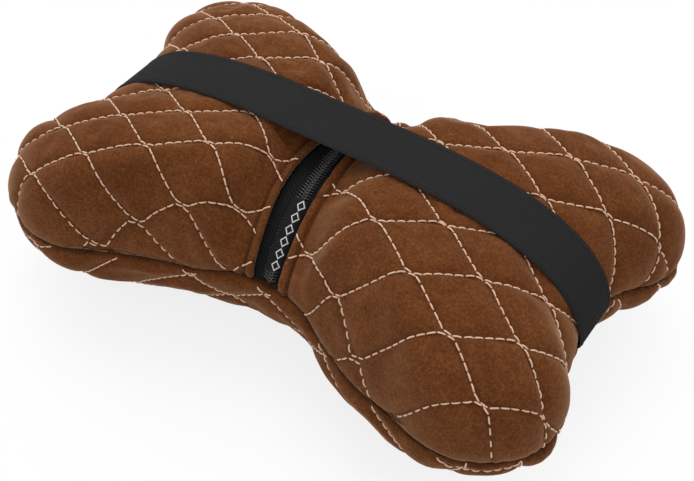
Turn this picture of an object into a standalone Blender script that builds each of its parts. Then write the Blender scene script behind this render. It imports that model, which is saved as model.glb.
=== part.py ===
# A car neck pillow: a bone-shaped quilted cover with a zip, its stuffed inner cushion and an elastic
# headrest strap. X runs along the pillow, Y along the zip, Z up. It lies on its neck side, strap uppermost.
import math

import bmesh
import bpy
import numpy as np
from mathutils import Matrix

MM = 0.001

# Stuffed cover, measured on the quilting's stitch lines
LENGTH = 280 * MM  # over the lobes, along X
WIDTH = 174 * MM  # over the lobes, along Y
WAIST_DEPTH = 28.5 * MM  # how far the middle of each long side lies inside its lobes
NOTCH_DEPTH = 14 * MM  # how far the middle of each end, where the strap is sewn in, lies inside its lobes
LOBE_RADIUS = 33 * MM
CROWN_HEIGHT = 94.5 * MM  # top of the two bars
VALLEY_HEIGHT = 86 * MM  # middle of the zip
SEAM_HEIGHT = 46 * MM  # the seam that joins the two sides of the cover
BELLY_HEIGHT = 2.8 * MM  # stitch lines of the neck side, above what the pillow lies on
VALLEY_FLOOR = 11.5 * MM  # half of the flat strip that carries the zip
VALLEY_SIDE = 22 * MM  # from that strip up to the bar's full height
CROWN_FULLNESS = (3.3, 2.2)  # how square the strap side is in plan and in height
BELLY_FULLNESS = (3.6, 2.0)

# Quilted cloth
CLOTH = 1.6 * MM  # thickness along a stitch line
PUFF = 3.5 * MM  # how far a diamond stands proud of its stitch lines
PUFF_FLATNESS, PUFF_STEEPNESS = 2.2, 0.7  # powers that shape a diamond's top and its sides
DIAMOND_LENGTH = 50 * MM  # along X
DIAMOND_WIDTH = 26.6 * MM  # along Y
FIRST_CROSSING = 20 * MM  # from the zip to the first stitch crossing
SEAM_PINCH = 11 * MM  # the puffs die away over this much cloth at the seam
FOLD_WIDTH = 7 * MM  # folded edge beside the zip
FOLD_RISE = 1.8 * MM
PRESSED = 0.3  # share of a puff's height that is left under the strap
PRESS_EASE = 7 * MM  # beside the strap, over which the puffs regain their height
BACK_FACETS, NECK_FACETS, LINING_FACETS = 4, 3, 2  # facets along one side of a diamond

# Zip
SLOT_WIDTH = 14 * MM  # between the two folded edges
TAPE = 0.6 * MM
TAPE_SPLIT = 2.4 * MM  # between the two tapes, under the chain
TAPE_LAP = 4 * MM  # how far a tape runs under the folded edge
COIL_WIDTH = 6.6 * MM
COIL_HEIGHT = 1.5 * MM
TOOTH_PITCH = 3.0 * MM
TOOTH = 1.0 * MM
TOOTH_THICKNESS = 0.9 * MM
TOOTH_REACH = 0.8 * MM  # past the middle of the chain
TOOTH_SLANT = 0.3  # each pair of teeth is a V that points at the zip's open end
PARTING = 1.8 * MM  # how far each row moves out ahead of the slider
PARTING_LENGTH = 8 * MM
END_ROOM = 1.5 * MM  # between the chain's ends and the seam

# Slider and pull tab
SLIDER_LENGTH = 11 * MM
SLIDER_PLATE = 1.1 * MM
SLIDER_WALL = 0.9 * MM
POST_WIDTH = 1.3 * MM
POST_LENGTH = 2.6 * MM
STOP_ROOM = 9 * MM  # from the closed slider's middle to the seam, along the zip
BAIL_WIDTH = 2.2 * MM
BAIL_THICKNESS = 1.0 * MM
BAIL_SPAN = 6.4 * MM
PIN = 1.0 * MM  # thickness of the pull tab and of its cross bar
TAB_WIDTH = 5.4 * MM
TAB_LENGTH = 15 * MM
TAB_ARM = 1.0 * MM
TAB_TAPER = 0.8  # the free end's width, as a share of the eye's

# Strap and label
STRAP_WIDTH = 28 * MM
STRAP_THICKNESS = 1.3 * MM
STRAP_LIFT = 2.4 * MM  # its lower face, above the stitch lines that it lies on
TAIL_RAMP = 3.0 * MM  # beside the strap's sewn end, over which the seam closes again
LABEL_WIDTH = 10 * MM
LABEL_LENGTH = 34 * MM
LABEL_THICKNESS = 0.3 * MM
LABEL_END = 9 * MM  # from the seam to the label, along the zip

CUSHION_ROOM = 3.0 * MM  # extra room between cushion and cover, where the cover bends
CUSHION_REST = 0.25  # the room opens over this share of the way from a side's middle to the seam
GAP = 0.3 * MM

# Worked out from the sizes above
BACK, NECK = 1, -1
WAIST = WIDTH - 2 * WAIST_DEPTH  # from one end of the zip to the other
NOTCH_LENGTH = LENGTH - 2 * NOTCH_DEPTH  # from one sewn end of the strap to the other
ZIP_RISE = VALLEY_HEIGHT - SEAM_HEIGHT
ZIP_RADIUS = (ZIP_RISE**2 + (WAIST / 2) ** 2) / (2 * ZIP_RISE)
ZIP_CENTRE = VALLEY_HEIGHT - ZIP_RADIUS
ZIP_HALF = ZIP_RADIUS * math.asin(WAIST / 2 / ZIP_RADIUS)
SLIDER_REST = ZIP_HALF - STOP_ROOM
TAPE_TOP = -(CLOTH + LABEL_THICKNESS + 2 * GAP)  # heights here are above the stitch lines
COIL_BASE = TAPE_TOP + GAP
COIL_TOP = COIL_BASE + COIL_HEIGHT
CURVE_ROOM = SLIDER_LENGTH**2 / (8 * ZIP_RADIUS)  # the zip bends away from a flat slider by this much
PLATE_BASE = COIL_TOP + GAP + CURVE_ROOM
PLATE_TOP = PLATE_BASE + SLIDER_PLATE
KEEL_TOP = TAPE_TOP - TAPE - GAP - CURVE_ROOM
PIVOT_HEIGHT = PLATE_TOP + GAP + PIN / 2
PIVOT_OFFSET = BAIL_SPAN / 2 - BAIL_THICKNESS - GAP - PIN / 2
TAB_EYE = PIVOT_OFFSET + BAIL_SPAN / 2 - PIN / 2 + 2 * GAP  # clears the bail's far leg when it lies back


def collection(name):
    found = bpy.data.collections.new(name)
    bpy.context.scene.collection.children.link(found)
    return found


def clear_scene():
    for thing in list(bpy.data.objects):
        bpy.data.objects.remove(thing, do_unlink=True)


def finish(name, colour, roughness, metallic=0.0):
    material = bpy.data.materials.new(name)
    material.use_nodes = True
    shader = material.node_tree.nodes["Principled BSDF"]
    shader.inputs["Base Color"].default_value = (*colour, 1)
    shader.inputs["Roughness"].default_value = roughness
    shader.inputs["Metallic"].default_value = metallic
    return material


def add_object(name, mesh_or_bmesh, group, material=None):
    if isinstance(mesh_or_bmesh, bmesh.types.BMesh):
        mesh = bpy.data.meshes.new(name)
        mesh_or_bmesh.to_mesh(mesh)
        mesh_or_bmesh.free()
    else:
        mesh = mesh_or_bmesh
    thing = bpy.data.objects.new(name, mesh)
    group.objects.link(thing)
    if material:
        mesh.materials.append(material)
    return thing


def solidify(thing, thickness, offset=-1.0):
    modifier = thing.modifiers.new("Thickness", "SOLIDIFY")
    modifier.thickness = thickness
    modifier.offset = offset
    modifier.use_even_offset = True
    return modifier


def boolean(thing, cutter, operation):
    cutter.hide_render = True
    cutter.display_type = "WIRE"
    modifier = thing.modifiers.new(cutter.name, "BOOLEAN")
    modifier.operation = operation
    modifier.object = cutter
    modifier.solver = "EXACT"
    return modifier


def evaluated_mesh(thing):
    graph = bpy.context.evaluated_depsgraph_get()
    return bpy.data.meshes.new_from_object(thing.evaluated_get(graph))


def flat_plate(name, outlines, thickness, group):
    """A flat outline, with any holes in it, given a thickness about z = 0."""
    curve = bpy.data.curves.new(name, "CURVE")
    curve.dimensions = "2D"
    curve.fill_mode = "BOTH"
    curve.extrude = thickness / 2
    for outline in outlines:
        spline = curve.splines.new("POLY")
        spline.points.add(len(outline) - 1)
        for point, (x, y) in zip(spline.points, outline):
            point.co = (x, y, 0, 1)
        spline.use_cyclic_u = True
    drawn = bpy.data.objects.new(name + "_outline", curve)
    group.objects.link(drawn)
    bm = bmesh.new()
    bm.from_mesh(evaluated_mesh(drawn))
    bmesh.ops.remove_doubles(bm, verts=bm.verts, dist=0.00001)
    bpy.data.objects.remove(drawn, do_unlink=True)
    return add_object(name, bm, group)


def smooth(value):
    """0 below 0, 1 above 1 and a smooth ramp between."""
    held = np.clip(value, 0, 1)
    return held * held * (3 - 2 * held)


def ray_to_circle(angle, centre, radius, far):
    along = centre[0] * np.cos(angle) + centre[1] * np.sin(angle)
    reach = along**2 - centre[0] ** 2 - centre[1] ** 2 + radius**2
    half_chord = np.sqrt(np.maximum(reach, 0))
    return along + half_chord if far else along - half_chord


def hollow_radius(across, along, depth):
    """The arc that touches two lobes and passes the middle at this depth."""
    return (across**2 + (depth - along) ** 2 - LOBE_RADIUS**2) / (2 * (LOBE_RADIUS - depth + along))


def outline_radius(angle):
    """Plan of the stuffed cover: four lobes joined by hollow arcs at the waist and at the end notches."""
    turned = np.arctan2(np.abs(np.sin(angle)), np.abs(np.cos(angle)))
    lobe = np.array([LENGTH / 2 - LOBE_RADIUS, WIDTH / 2 - LOBE_RADIUS])
    waist_radius = hollow_radius(lobe[0], lobe[1], WAIST / 2)
    notch_radius = hollow_radius(lobe[1], lobe[0], NOTCH_LENGTH / 2)
    waist_centre = np.array([0, WAIST / 2 + waist_radius])
    notch_centre = np.array([NOTCH_LENGTH / 2 + notch_radius, 0])
    waist_touch = lobe + (waist_centre - lobe) * LOBE_RADIUS / (LOBE_RADIUS + waist_radius)
    notch_touch = lobe + (notch_centre - lobe) * LOBE_RADIUS / (LOBE_RADIUS + notch_radius)
    radius = ray_to_circle(turned, lobe, LOBE_RADIUS, True)
    in_waist = turned > math.atan2(waist_touch[1], waist_touch[0])
    in_notch = turned < math.atan2(notch_touch[1], notch_touch[0])
    radius = np.where(in_waist, ray_to_circle(turned, waist_centre, waist_radius, False), radius)
    return np.where(in_notch, ray_to_circle(turned, notch_centre, notch_radius, False), radius)


def body_point(angle, turn, side):
    """A point of the stitch-line surface: turn runs from 0 in the middle of a side to 1 at the seam."""
    plan, height = CROWN_FULLNESS if side == BACK else BELLY_FULLNESS
    out = np.sin(turn * math.pi / 2) ** (2 / plan)
    up = np.cos(np.clip(turn, 0, 1) * math.pi / 2) ** (2 / height)
    radius = outline_radius(angle) * out
    x, y = radius * np.cos(angle), radius * np.sin(angle)
    if side == BACK:
        arc = np.sqrt(np.maximum(ZIP_RADIUS**2 - (out * WAIST / 2) ** 2, 0)) - ZIP_RADIUS + ZIP_RISE
        bar = smooth((np.abs(x) - VALLEY_FLOOR) / VALLEY_SIDE)
        z = SEAM_HEIGHT + bar * up * (CROWN_HEIGHT - SEAM_HEIGHT) + (1 - bar) * arc
    else:
        z = SEAM_HEIGHT - up * (SEAM_HEIGHT - BELLY_HEIGHT)
    return np.stack(np.broadcast_arrays(x, y, z), axis=-1)


def meridians(angle, side, steps=60):
    """For each direction, the turns of a line from the middle to the seam and the cloth used up to them."""
    plan = (CROWN_FULLNESS if side == BACK else BELLY_FULLNESS)[0]
    turns = np.linspace(0, 1, steps + 1) ** (plan / 2)
    points = body_point(np.asarray(angle)[..., None], turns, side)
    lengths = np.linalg.norm(np.diff(points, axis=-2), axis=-1)
    used = np.concatenate([np.zeros(lengths.shape[:-1] + (1,)), np.cumsum(lengths, axis=-1)], axis=-1)
    return turns, used


def pattern_radius(angle, side):
    """How far the flat cloth reaches from its middle, in each direction, before it is stuffed."""
    return meridians(angle, side)[1][..., -1]


def drape(flat, side):
    """Flat cloth points laid on the body, each as far along its line as it lies from the cloth's middle."""
    angle = np.arctan2(flat[:, 1], flat[:, 0])
    turns, used = meridians(angle, side)
    length = np.minimum(np.hypot(flat[:, 0], flat[:, 1]), used[:, -1] * (1 - 1e-9))
    after = np.clip((used <= length[:, None]).sum(axis=1), 1, len(turns) - 1)
    row = np.arange(len(flat))
    share = (length - used[row, after - 1]) / (used[row, after] - used[row, after - 1])
    turn = turns[after - 1] + share * (turns[after] - turns[after - 1])
    return body_point(angle, turn, side)


def lay_flat(plan, side):
    """The flat cloth points that drape lays at these plan points of the body."""
    angle = np.arctan2(plan[:, 1], plan[:, 0])
    out = np.minimum(np.hypot(plan[:, 0], plan[:, 1]) / outline_radius(angle), 1)
    fullness = (CROWN_FULLNESS if side == BACK else BELLY_FULLNESS)[0]
    turn = np.arcsin(out ** (fullness / 2)) * 2 / math.pi
    turns, used = meridians(angle, side)
    length = np.array([np.interp(a, turns, line) for a, line in zip(turn, used)])
    return np.stack([length * np.cos(angle), length * np.sin(angle)], axis=1)


def drape_normals(flat, side, step=0.4 * MM):
    along = drape(flat + (step, 0), side) - drape(flat - (step, 0), side)
    across = drape(flat + (0, step), side) - drape(flat - (0, step), side)
    normals = np.cross(along, across) * side
    return normals / np.linalg.norm(normals, axis=1)[:, None]


def diamond_place(flat, first):
    """Where a flat cloth point lies in the grid of stitch lines, as two numbers that are whole on the lines."""
    along = (flat[:, 0] - first) / DIAMOND_LENGTH
    across = flat[:, 1] / DIAMOND_WIDTH
    return along + across, along - across


def puff_height(flat, first):
    """The quilting: each diamond is a low pillow between its stitch lines."""

    def arch(place):
        return (1 - np.abs(2 * (place % 1) - 1) ** PUFF_FLATNESS) ** PUFF_STEEPNESS

    first_way, second_way = diamond_place(flat, first)
    return PUFF * arch(first_way) * arch(second_way)


def back_relief(flat):
    """Height of the strap side's outer face above its stitch lines."""
    edge = pattern_radius(np.arctan2(flat[:, 1], flat[:, 0]), BACK) - np.hypot(flat[:, 0], flat[:, 1])
    body = drape(flat, BACK)
    from_slot = body[:, 0] - SLOT_WIDTH / 2
    free_of_strap = smooth((np.abs(body[:, 1]) - STRAP_WIDTH / 2) / PRESS_EASE)
    puffs = puff_height(flat, FIRST_CROSSING) * smooth(from_slot / FOLD_WIDTH)
    fold = FOLD_RISE * (1 - smooth(from_slot / FOLD_WIDTH))
    return (puffs * (PRESSED + (1 - PRESSED) * free_of_strap) + fold) * smooth(edge / SEAM_PINCH)


def neck_relief(flat):
    """Height of the neck side's outer face above its stitch lines."""
    edge = pattern_radius(np.arctan2(flat[:, 1], flat[:, 0]), NECK) - np.hypot(flat[:, 0], flat[:, 1])
    return puff_height(flat, 0.0) * smooth(edge / SEAM_PINCH)


def quilted_stock(outline, facets, first):
    """A flat sheet larger than the outline: its grid follows the stitch lines, fine outside and coarse inside."""
    places = np.concatenate(diamond_place(outline, first))
    low, high = math.floor(places.min()) - 1, math.ceil(places.max()) + 1
    cells, middle = high - low, (low + high) / 2
    bm = bmesh.new()
    layers = []
    for height, count in ((0.0, facets), (-CLOTH, LINING_FACETS)):
        grid = bmesh.ops.create_grid(bm, x_segments=cells * count, y_segments=cells * count, size=cells / 2)
        for vert in grid["verts"]:
            vert.co.z = height
        layers.append(grid["verts"])
    for axis in (0, 1):
        for end in (-cells / 2, cells / 2):
            sides = [[v for v in layer if abs(v.co[axis] - end) < 1e-6] for layer in layers]
            for side in sides:
                side.sort(key=lambda v: v.co[1 - axis])
            bm.faces.new(sides[0] + sides[1][::-1])
    for vert in bm.verts:
        first_way, second_way = vert.co.x + middle, vert.co.y + middle
        vert.co.x = first + DIAMOND_LENGTH * (first_way + second_way) / 2
        vert.co.y = DIAMOND_WIDTH * (first_way - second_way) / 2
    bmesh.ops.recalc_face_normals(bm, faces=bm.faces)
    return bm


def drape_panel(bm, side, relief):
    """Lays a cut flat panel on the body: its outer face puffs out and its lining stays plain."""
    bmesh.ops.triangulate(bm, faces=bm.faces, quad_method="SHORT_EDGE")
    flat = np.array([vert.co[:2] for vert in bm.verts])
    outer = np.array([vert.co.z > -CLOTH / 2 for vert in bm.verts])
    normals = drape_normals(flat, side)
    offsets = np.where(outer, relief(flat), -CLOTH)
    body = drape(flat, side)
    points = body + normals * offsets[:, None]
    if side == BACK:
        beside_strap = (np.abs(body[:, 1]) - STRAP_WIDTH / 2 - GAP) / TAIL_RAMP
        tail_room = (STRAP_THICKNESS + 2 * GAP) * (1 - smooth(beside_strap)) * (body[:, 0] > WAIST / 2)
        points[:, 2] = np.maximum(points[:, 2], SEAM_HEIGHT + GAP / 2 + tail_room)
    else:
        points[:, 2] = np.clip(points[:, 2], 0, SEAM_HEIGHT - GAP / 2)
    for vert, point in zip(bm.verts, points):
        vert.co = point
    if side == NECK:
        bmesh.ops.reverse_faces(bm, faces=bm.faces)
    return bm


def even_angles(first, last, count):
    """Directions from the middle whose points on the seam are evenly spaced along it."""
    dense = np.linspace(first, last, 2000)
    radius = outline_radius(dense)
    steps = np.hypot(np.diff(radius * np.cos(dense)), np.diff(radius * np.sin(dense)))
    length = np.concatenate([[0], np.cumsum(steps)])
    return np.interp(np.linspace(0, length[-1], count), length, dense)


def seam_cut(angles, side):
    radius = pattern_radius(angles, side)
    return np.stack([radius * np.cos(angles), radius * np.sin(angles)], axis=1)


def front_outline(points=96):
    """The neck side's flat pattern."""
    return seam_cut(even_angles(0, 2 * math.pi, points + 1)[:-1], NECK)


def back_outline(seam_points=52, slot_points=14):
    """The flat pattern of the strap side's right half: round the seam and back along the zip's slot."""
    limit = math.pi / 2
    for _ in range(8):
        limit = math.acos(SLOT_WIDTH / 2 / float(outline_radius(np.array(limit))))
    tail_edges = (STRAP_WIDTH / 2 + GAP, STRAP_WIDTH / 2 + GAP + TAIL_RAMP)
    beside = [sign * math.asin(edge / (NOTCH_LENGTH / 2)) for edge in tail_edges for sign in (-1, 1)]
    seam = seam_cut(np.sort(np.concatenate([even_angles(-limit, limit, seam_points), beside])), BACK)
    slot_end = float(outline_radius(np.array(limit))) * math.sin(limit)
    along = np.linspace(slot_end, -slot_end, slot_points)[1:-1]
    slot = lay_flat(np.stack([np.full(len(along), SLOT_WIDTH / 2), along], axis=1), BACK)
    return np.concatenate([seam, slot])


def cut_panel(name, outline, facets, first, group, cutters, material):
    panel = add_object(name, quilted_stock(outline, facets, first), group, material)
    pattern = flat_plate(name + "_pattern", [outline], 6 * CLOTH, cutters)
    cut = boolean(panel, pattern, "INTERSECT")
    mesh = evaluated_mesh(panel)
    panel.modifiers.remove(cut)
    bpy.data.objects.remove(pattern, do_unlink=True)
    return panel, mesh


def make_back_panels(group, cutters, material):
    """The strap side is cut in two, one half each side of the zip."""
    right, mesh = cut_panel(
        "back_panel_right", back_outline(), BACK_FACETS, FIRST_CROSSING, group, cutters, material
    )
    bm = bmesh.new()
    bm.from_mesh(mesh)
    drape_panel(bm, BACK, back_relief)
    bm.to_mesh(right.data)
    bmesh.ops.transform(bm, verts=bm.verts, matrix=Matrix.Scale(-1, 4, (1, 0, 0)))
    bmesh.ops.reverse_faces(bm, faces=bm.faces)
    left = add_object("back_panel_left", bm, group, material)
    return right, left


def make_front_panel(group, cutters, material):
    """The neck side is one piece, with no zip."""
    panel, mesh = cut_panel("front_panel", front_outline(), NECK_FACETS, 0.0, group, cutters, material)
    bm = bmesh.new()
    bm.from_mesh(mesh)
    drape_panel(bm, NECK, neck_relief)
    bm.to_mesh(panel.data)
    bm.free()
    return panel


def make_inner_cushion(group, material, around=40, rings=20):
    """The stuffing bag fills the cover, with a groove under the zip for the slider's lower plate."""
    bm = bmesh.new()
    bmesh.ops.create_uvsphere(bm, u_segments=around, v_segments=rings, radius=1)
    groove = -KEEL_TOP + SLIDER_PLATE + 2 * GAP
    for vert in bm.verts:
        side = BACK if vert.co.z >= 0 else NECK
        plan = (CROWN_FULLNESS if side == BACK else BELLY_FULLNESS)[0]
        turn = (1 - abs(math.asin(max(-1, min(1, vert.co.z)))) / (math.pi / 2)) ** (plan / 2)
        angle = math.atan2(vert.co.y, vert.co.x)
        point = body_point(np.array(angle), np.array(turn), side)
        flat = lay_flat(point[None, :2], side)
        normal = drape_normals(flat, side)[0]
        inset = CLOTH + GAP + CUSHION_ROOM * min(1, turn / CUSHION_REST)
        if turn > 0.999:
            normal = np.array([math.cos(angle), math.sin(angle), 0])
        vert.co = point - normal * inset
        if side == BACK:
            beside_tapes = abs(vert.co.x) - SLOT_WIDTH / 2 - 2 * TAPE_LAP
            near_zip = float(1 - smooth(beside_tapes / (VALLEY_SIDE / 2)))
            above_zip = math.hypot(vert.co.y, vert.co.z - ZIP_CENTRE) - ZIP_RADIUS
            vert.co.z -= near_zip * max(0, above_zip + groove)
    bmesh.ops.recalc_face_normals(bm, faces=bm.faces)
    return add_object("inner_cushion", bm, group, material)


def zip_point(x, along, height):
    """A point near the zip: along is measured from its middle, height from the stitch lines."""
    angle = along / ZIP_RADIUS
    radius = ZIP_RADIUS + height
    return (x, radius * math.sin(angle), ZIP_CENTRE + radius * math.cos(angle))


def bent_sheet(name, columns, rows, height_of, group, material, keep=None, slant=0.0, parting=None):
    """An open sheet on the zip's arc. keep drops cells, slant and parting shift its points."""
    bm = bmesh.new()
    grid = []
    for along in rows:
        line = []
        for x in columns:
            moved = x + (math.copysign(parting(along), columns[0]) if parting else 0)
            line.append(bm.verts.new(zip_point(moved, along + slant * abs(x), height_of(x))))
        grid.append(line)
    for row in range(len(rows) - 1):
        for column in range(len(columns) - 1):
            if keep is None or keep(row, column):
                corners = (grid[row][column], grid[row][column + 1])
                bm.faces.new(corners + (grid[row + 1][column + 1], grid[row + 1][column]))
    bmesh.ops.delete(bm, geom=[v for v in bm.verts if not v.link_faces], context="VERTS")
    if columns[0] > columns[-1]:
        bmesh.ops.reverse_faces(bm, faces=bm.faces)
    return add_object(name, bm, group, material)


def make_tapes(group, material, segments=26):
    rows = np.linspace(-ZIP_HALF + END_ROOM, ZIP_HALF - END_ROOM, segments + 1)
    inner, outer = TAPE_SPLIT / 2, SLOT_WIDTH / 2 + TAPE_LAP
    for name, columns in (("zip_tape_left", (-outer, -inner)), ("zip_tape_right", (inner, outer))):
        tape = bent_sheet(name, columns, rows, lambda x: TAPE_TOP, group, material)
        solidify(tape, TAPE)


def parting(along):
    """The rows lie closed up to the slider and spread apart ahead of it."""
    ahead = (along - SLIDER_REST + PARTING_LENGTH / 2) / PARTING_LENGTH
    return PARTING * float(smooth(ahead))


def make_coils(group, material):
    """Each row is a spine with teeth that reach past the middle, between the teeth of the other row."""
    outer, root = COIL_WIDTH / 2, COIL_WIDTH / 2 - TOOTH
    first, last = -ZIP_HALF + END_ROOM, ZIP_HALF - END_ROOM - TOOTH_SLANT * outer
    count = int((last - first - TOOTH_PITCH) / TOOTH_PITCH)
    for name, side, shift in (("zip_coil_left", -1, 0.0), ("zip_coil_right", 1, TOOTH_PITCH / 2)):
        columns = [side * outer, side * root, -side * TOOTH_REACH]
        rows = []
        for number in range(count):
            start = first + shift + number * TOOTH_PITCH
            rows += [start, start + TOOTH]

        def height_of(x):
            return COIL_BASE + (TOOTH_THICKNESS if abs(x) > root + TOOTH / 2 else COIL_HEIGHT)

        coil = bent_sheet(
            name, columns, rows, height_of, group, material,
            keep=lambda row, column: column == 0 or row % 2 == 0,
            slant=TOOTH_SLANT, parting=parting,
        )
        solidify(coil, TOOTH_THICKNESS)


def make_slider(group, cutters, material, carrier):
    """Two plates joined by a post between the rows, side walls and the bail that holds the pull tab."""
    half = SLIDER_LENGTH / 2
    tail = COIL_WIDTH / 2 + 2 * GAP + SLIDER_WALL
    head = tail + PARTING
    chamfer = SLIDER_LENGTH / 6
    outline = [
        (-tail + chamfer / 2, -half), (tail - chamfer / 2, -half), (tail, -half + chamfer),
        (head, half - chamfer), (head - chamfer, half), (-head + chamfer, half),
        (-head, half - chamfer), (-tail, -half + chamfer),
    ]
    slider = flat_plate("zip_slider", [outline], SLIDER_PLATE, group)
    slider.data.transform(Matrix.Translation((0, 0, PLATE_BASE + SLIDER_PLATE / 2)))
    keel = flat_plate("slider_keel", [outline], SLIDER_PLATE, cutters)
    keel.location.z = KEEL_TOP - SLIDER_PLATE / 2
    walls = []
    for side in (-1, 1):
        wall = [
            (side * tail, -half + chamfer), (side * head, half - chamfer),
            (side * (head - SLIDER_WALL), half - chamfer), (side * (tail - SLIDER_WALL), -half + chamfer),
        ]
        flange = flat_plate("slider_wall", [wall], PLATE_TOP - TAPE_TOP - 2 * GAP, cutters)
        flange.location.z = (PLATE_TOP + TAPE_TOP + GAP) / 2
        walls.append(flange)
    post_outline = [
        (x * POST_WIDTH / 2, half - chamfer / 2 - y * POST_LENGTH) for x, y in ((-1, 0), (1, 0), (1, 1), (-1, 1))
    ]
    post = flat_plate("slider_post", [post_outline], PLATE_TOP - KEEL_TOP + SLIDER_PLATE / 2, cutters)
    post.location.z = (PLATE_TOP + KEEL_TOP - SLIDER_PLATE) / 2
    span, rise = BAIL_SPAN / 2, PIN + 2 * GAP + BAIL_THICKNESS
    inner, corner, foot = span - BAIL_THICKNESS, rise / 4, -SLIDER_PLATE / 2
    bail_outline = [
        (-span, foot), (-span, rise - corner), (corner - span, rise), (span - corner, rise),
        (span, rise - corner), (span, foot), (inner, foot),
        (inner, rise - BAIL_THICKNESS), (-inner, rise - BAIL_THICKNESS), (-inner, foot),
    ]
    bail = flat_plate("slider_bail", [bail_outline], BAIL_WIDTH, cutters)
    bail.matrix_world = Matrix(((0, 0, 1, 0), (1, 0, 0, 0), (0, 1, 0, PLATE_TOP), (0, 0, 0, 1)))
    bpy.context.view_layer.update()
    for piece in (*walls, post, keel, bail):
        boolean(slider, piece, "UNION")
    mesh = evaluated_mesh(slider)
    slider.modifiers.clear()
    slider.data = mesh
    slider.data.materials.append(material)
    for piece in (*walls, post, keel, bail):
        bpy.data.objects.remove(piece, do_unlink=True)
    slider.parent = carrier
    slider.location.z = ZIP_RADIUS
    return slider


def make_pull_tab(group, material, slider):
    """A flat tongue with an eye: its cross bar turns under the bail."""
    half, corner = TAB_WIDTH / 2, TAB_WIDTH / 4
    tip, shoulder = half * TAB_TAPER, PIN / 2 + TAB_EYE + TAB_ARM
    outline = [
        (-half, -PIN / 2), (half, -PIN / 2), (half, shoulder), (tip, TAB_LENGTH - corner),
        (tip - corner, TAB_LENGTH), (corner - tip, TAB_LENGTH), (-tip, TAB_LENGTH - corner), (-half, shoulder),
    ]
    eye = [(x * (half - TAB_ARM), PIN / 2 + y * TAB_EYE) for x, y in ((-1, 0), (1, 0), (1, 1), (-1, 1))]
    tab = flat_plate("zip_pull_tab", [outline, eye], PIN, group)
    tab.data.materials.append(material)
    tab.parent = slider
    tab.location = (0, PIVOT_OFFSET, PIVOT_HEIGHT)
    return tab


def strap_path(steps=30):
    """The strap's lower face in plan y = 0: taut across the valley, down the notch and into the seam."""
    turns = np.linspace(0, 1, steps) ** (CROWN_FULLNESS[0] / 2)
    points = body_point(np.zeros(steps), turns, BACK)[:, (0, 2)]
    crown = int(np.argmax(points[:, 1]))
    slopes = np.gradient(points[crown:], axis=0)
    normals = np.stack([-slopes[:, 1], slopes[:, 0]], axis=1)
    normals /= np.linalg.norm(normals, axis=1)[:, None]
    notch_radius = hollow_radius(WIDTH / 2 - LOBE_RADIUS, LENGTH / 2 - LOBE_RADIUS, NOTCH_LENGTH / 2)
    bulge = (STRAP_WIDTH / 2) ** 2 / (2 * notch_radius)
    lifted = points[crown:] + normals * (STRAP_LIFT + bulge * turns[crown:] ** 2)[:, None]
    under = SEAM_HEIGHT + GAP / 2 + STRAP_THICKNESS
    bend = 1.5 * STRAP_THICKNESS
    lifted = lifted[lifted[:, 1] > under + bend]
    wall = float(lifted[-1][0])
    turn_in = [(wall, under + bend), (wall - bend / 6, under + bend / 4), (wall - bend * 2 / 3, under)]
    return [tuple(point) for point in lifted] + turn_in + [(NOTCH_LENGTH / 2 - CLOTH, under)]


def make_strap(group, material):
    right = strap_path()
    path = [(-x, z) for x, z in reversed(right)] + right
    bm = bmesh.new()
    edges = []
    for y in (-STRAP_WIDTH / 2, STRAP_WIDTH / 2):
        line = [bm.verts.new((x, y, z)) for x, z in path]
        edges.append([bm.edges.new(pair) for pair in zip(line, line[1:])])
    bmesh.ops.bridge_loops(bm, edges=edges[0] + edges[1])
    bmesh.ops.recalc_face_normals(bm, faces=bm.faces)
    if sum(face.normal.z for face in bm.faces) < 0:
        bmesh.ops.reverse_faces(bm, faces=bm.faces)
    strap = add_object("elastic_strap", bm, group, material)
    solidify(strap, STRAP_THICKNESS, offset=1.0)
    return strap


def make_label(group, material, segments=8):
    """A woven label sewn under the right folded edge, which lies over the chain."""
    outer = SLOT_WIDTH / 2 + TAPE_LAP / 3
    under, over = -CLOTH - GAP, COIL_TOP + GAP + LABEL_THICKNESS
    profile = {
        outer - LABEL_WIDTH: over,
        COIL_WIDTH / 2: over,
        (COIL_WIDTH + SLOT_WIDTH) / 4: (under + over) / 2,
        SLOT_WIDTH / 2 - 2 * GAP: under,
        outer: under,
    }
    start = -ZIP_HALF + LABEL_END
    rows = np.linspace(start, start + LABEL_LENGTH, segments + 1)
    label = bent_sheet("side_label", list(profile), rows, lambda x: profile[x], group, material)
    solidify(label, LABEL_THICKNESS)
    return label


def main():
    clear_scene()
    pillow, cutters = collection("car_neck_pillow"), collection("cutters")
    suede = finish("brown_suede", (0.13, 0.055, 0.022), 0.95)
    lining = finish("white_lining", (0.75, 0.74, 0.7), 0.9)
    tape = finish("black_tape", (0.012, 0.012, 0.013), 0.85)
    nylon = finish("black_nylon", (0.02, 0.02, 0.022), 0.4)
    enamel = finish("black_enamel", (0.03, 0.03, 0.033), 0.35, 0.6)
    elastic = finish("black_elastic", (0.018, 0.018, 0.02), 0.75)
    satin = finish("black_satin", (0.02, 0.02, 0.022), 0.5)

    make_back_panels(pillow, cutters, suede)
    make_front_panel(pillow, cutters, suede)
    make_inner_cushion(pillow, lining)
    make_tapes(pillow, tape)
    make_coils(pillow, nylon)

    carrier = bpy.data.objects.new("slider_axis", None)
    pillow.objects.link(carrier)
    carrier.location = (0, 0, ZIP_CENTRE)
    carrier.rotation_euler.x = -SLIDER_REST / ZIP_RADIUS
    slider = make_slider(pillow, cutters, enamel, carrier)
    make_pull_tab(pillow, enamel, slider)

    make_strap(pillow, elastic)
    make_label(pillow, satin)


main()
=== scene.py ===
import math

import bmesh
import bpy
import numpy as np
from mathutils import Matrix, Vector
from mathutils.bvhtree import BVHTree
from mathutils.geometry import barycentric_transform


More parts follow.
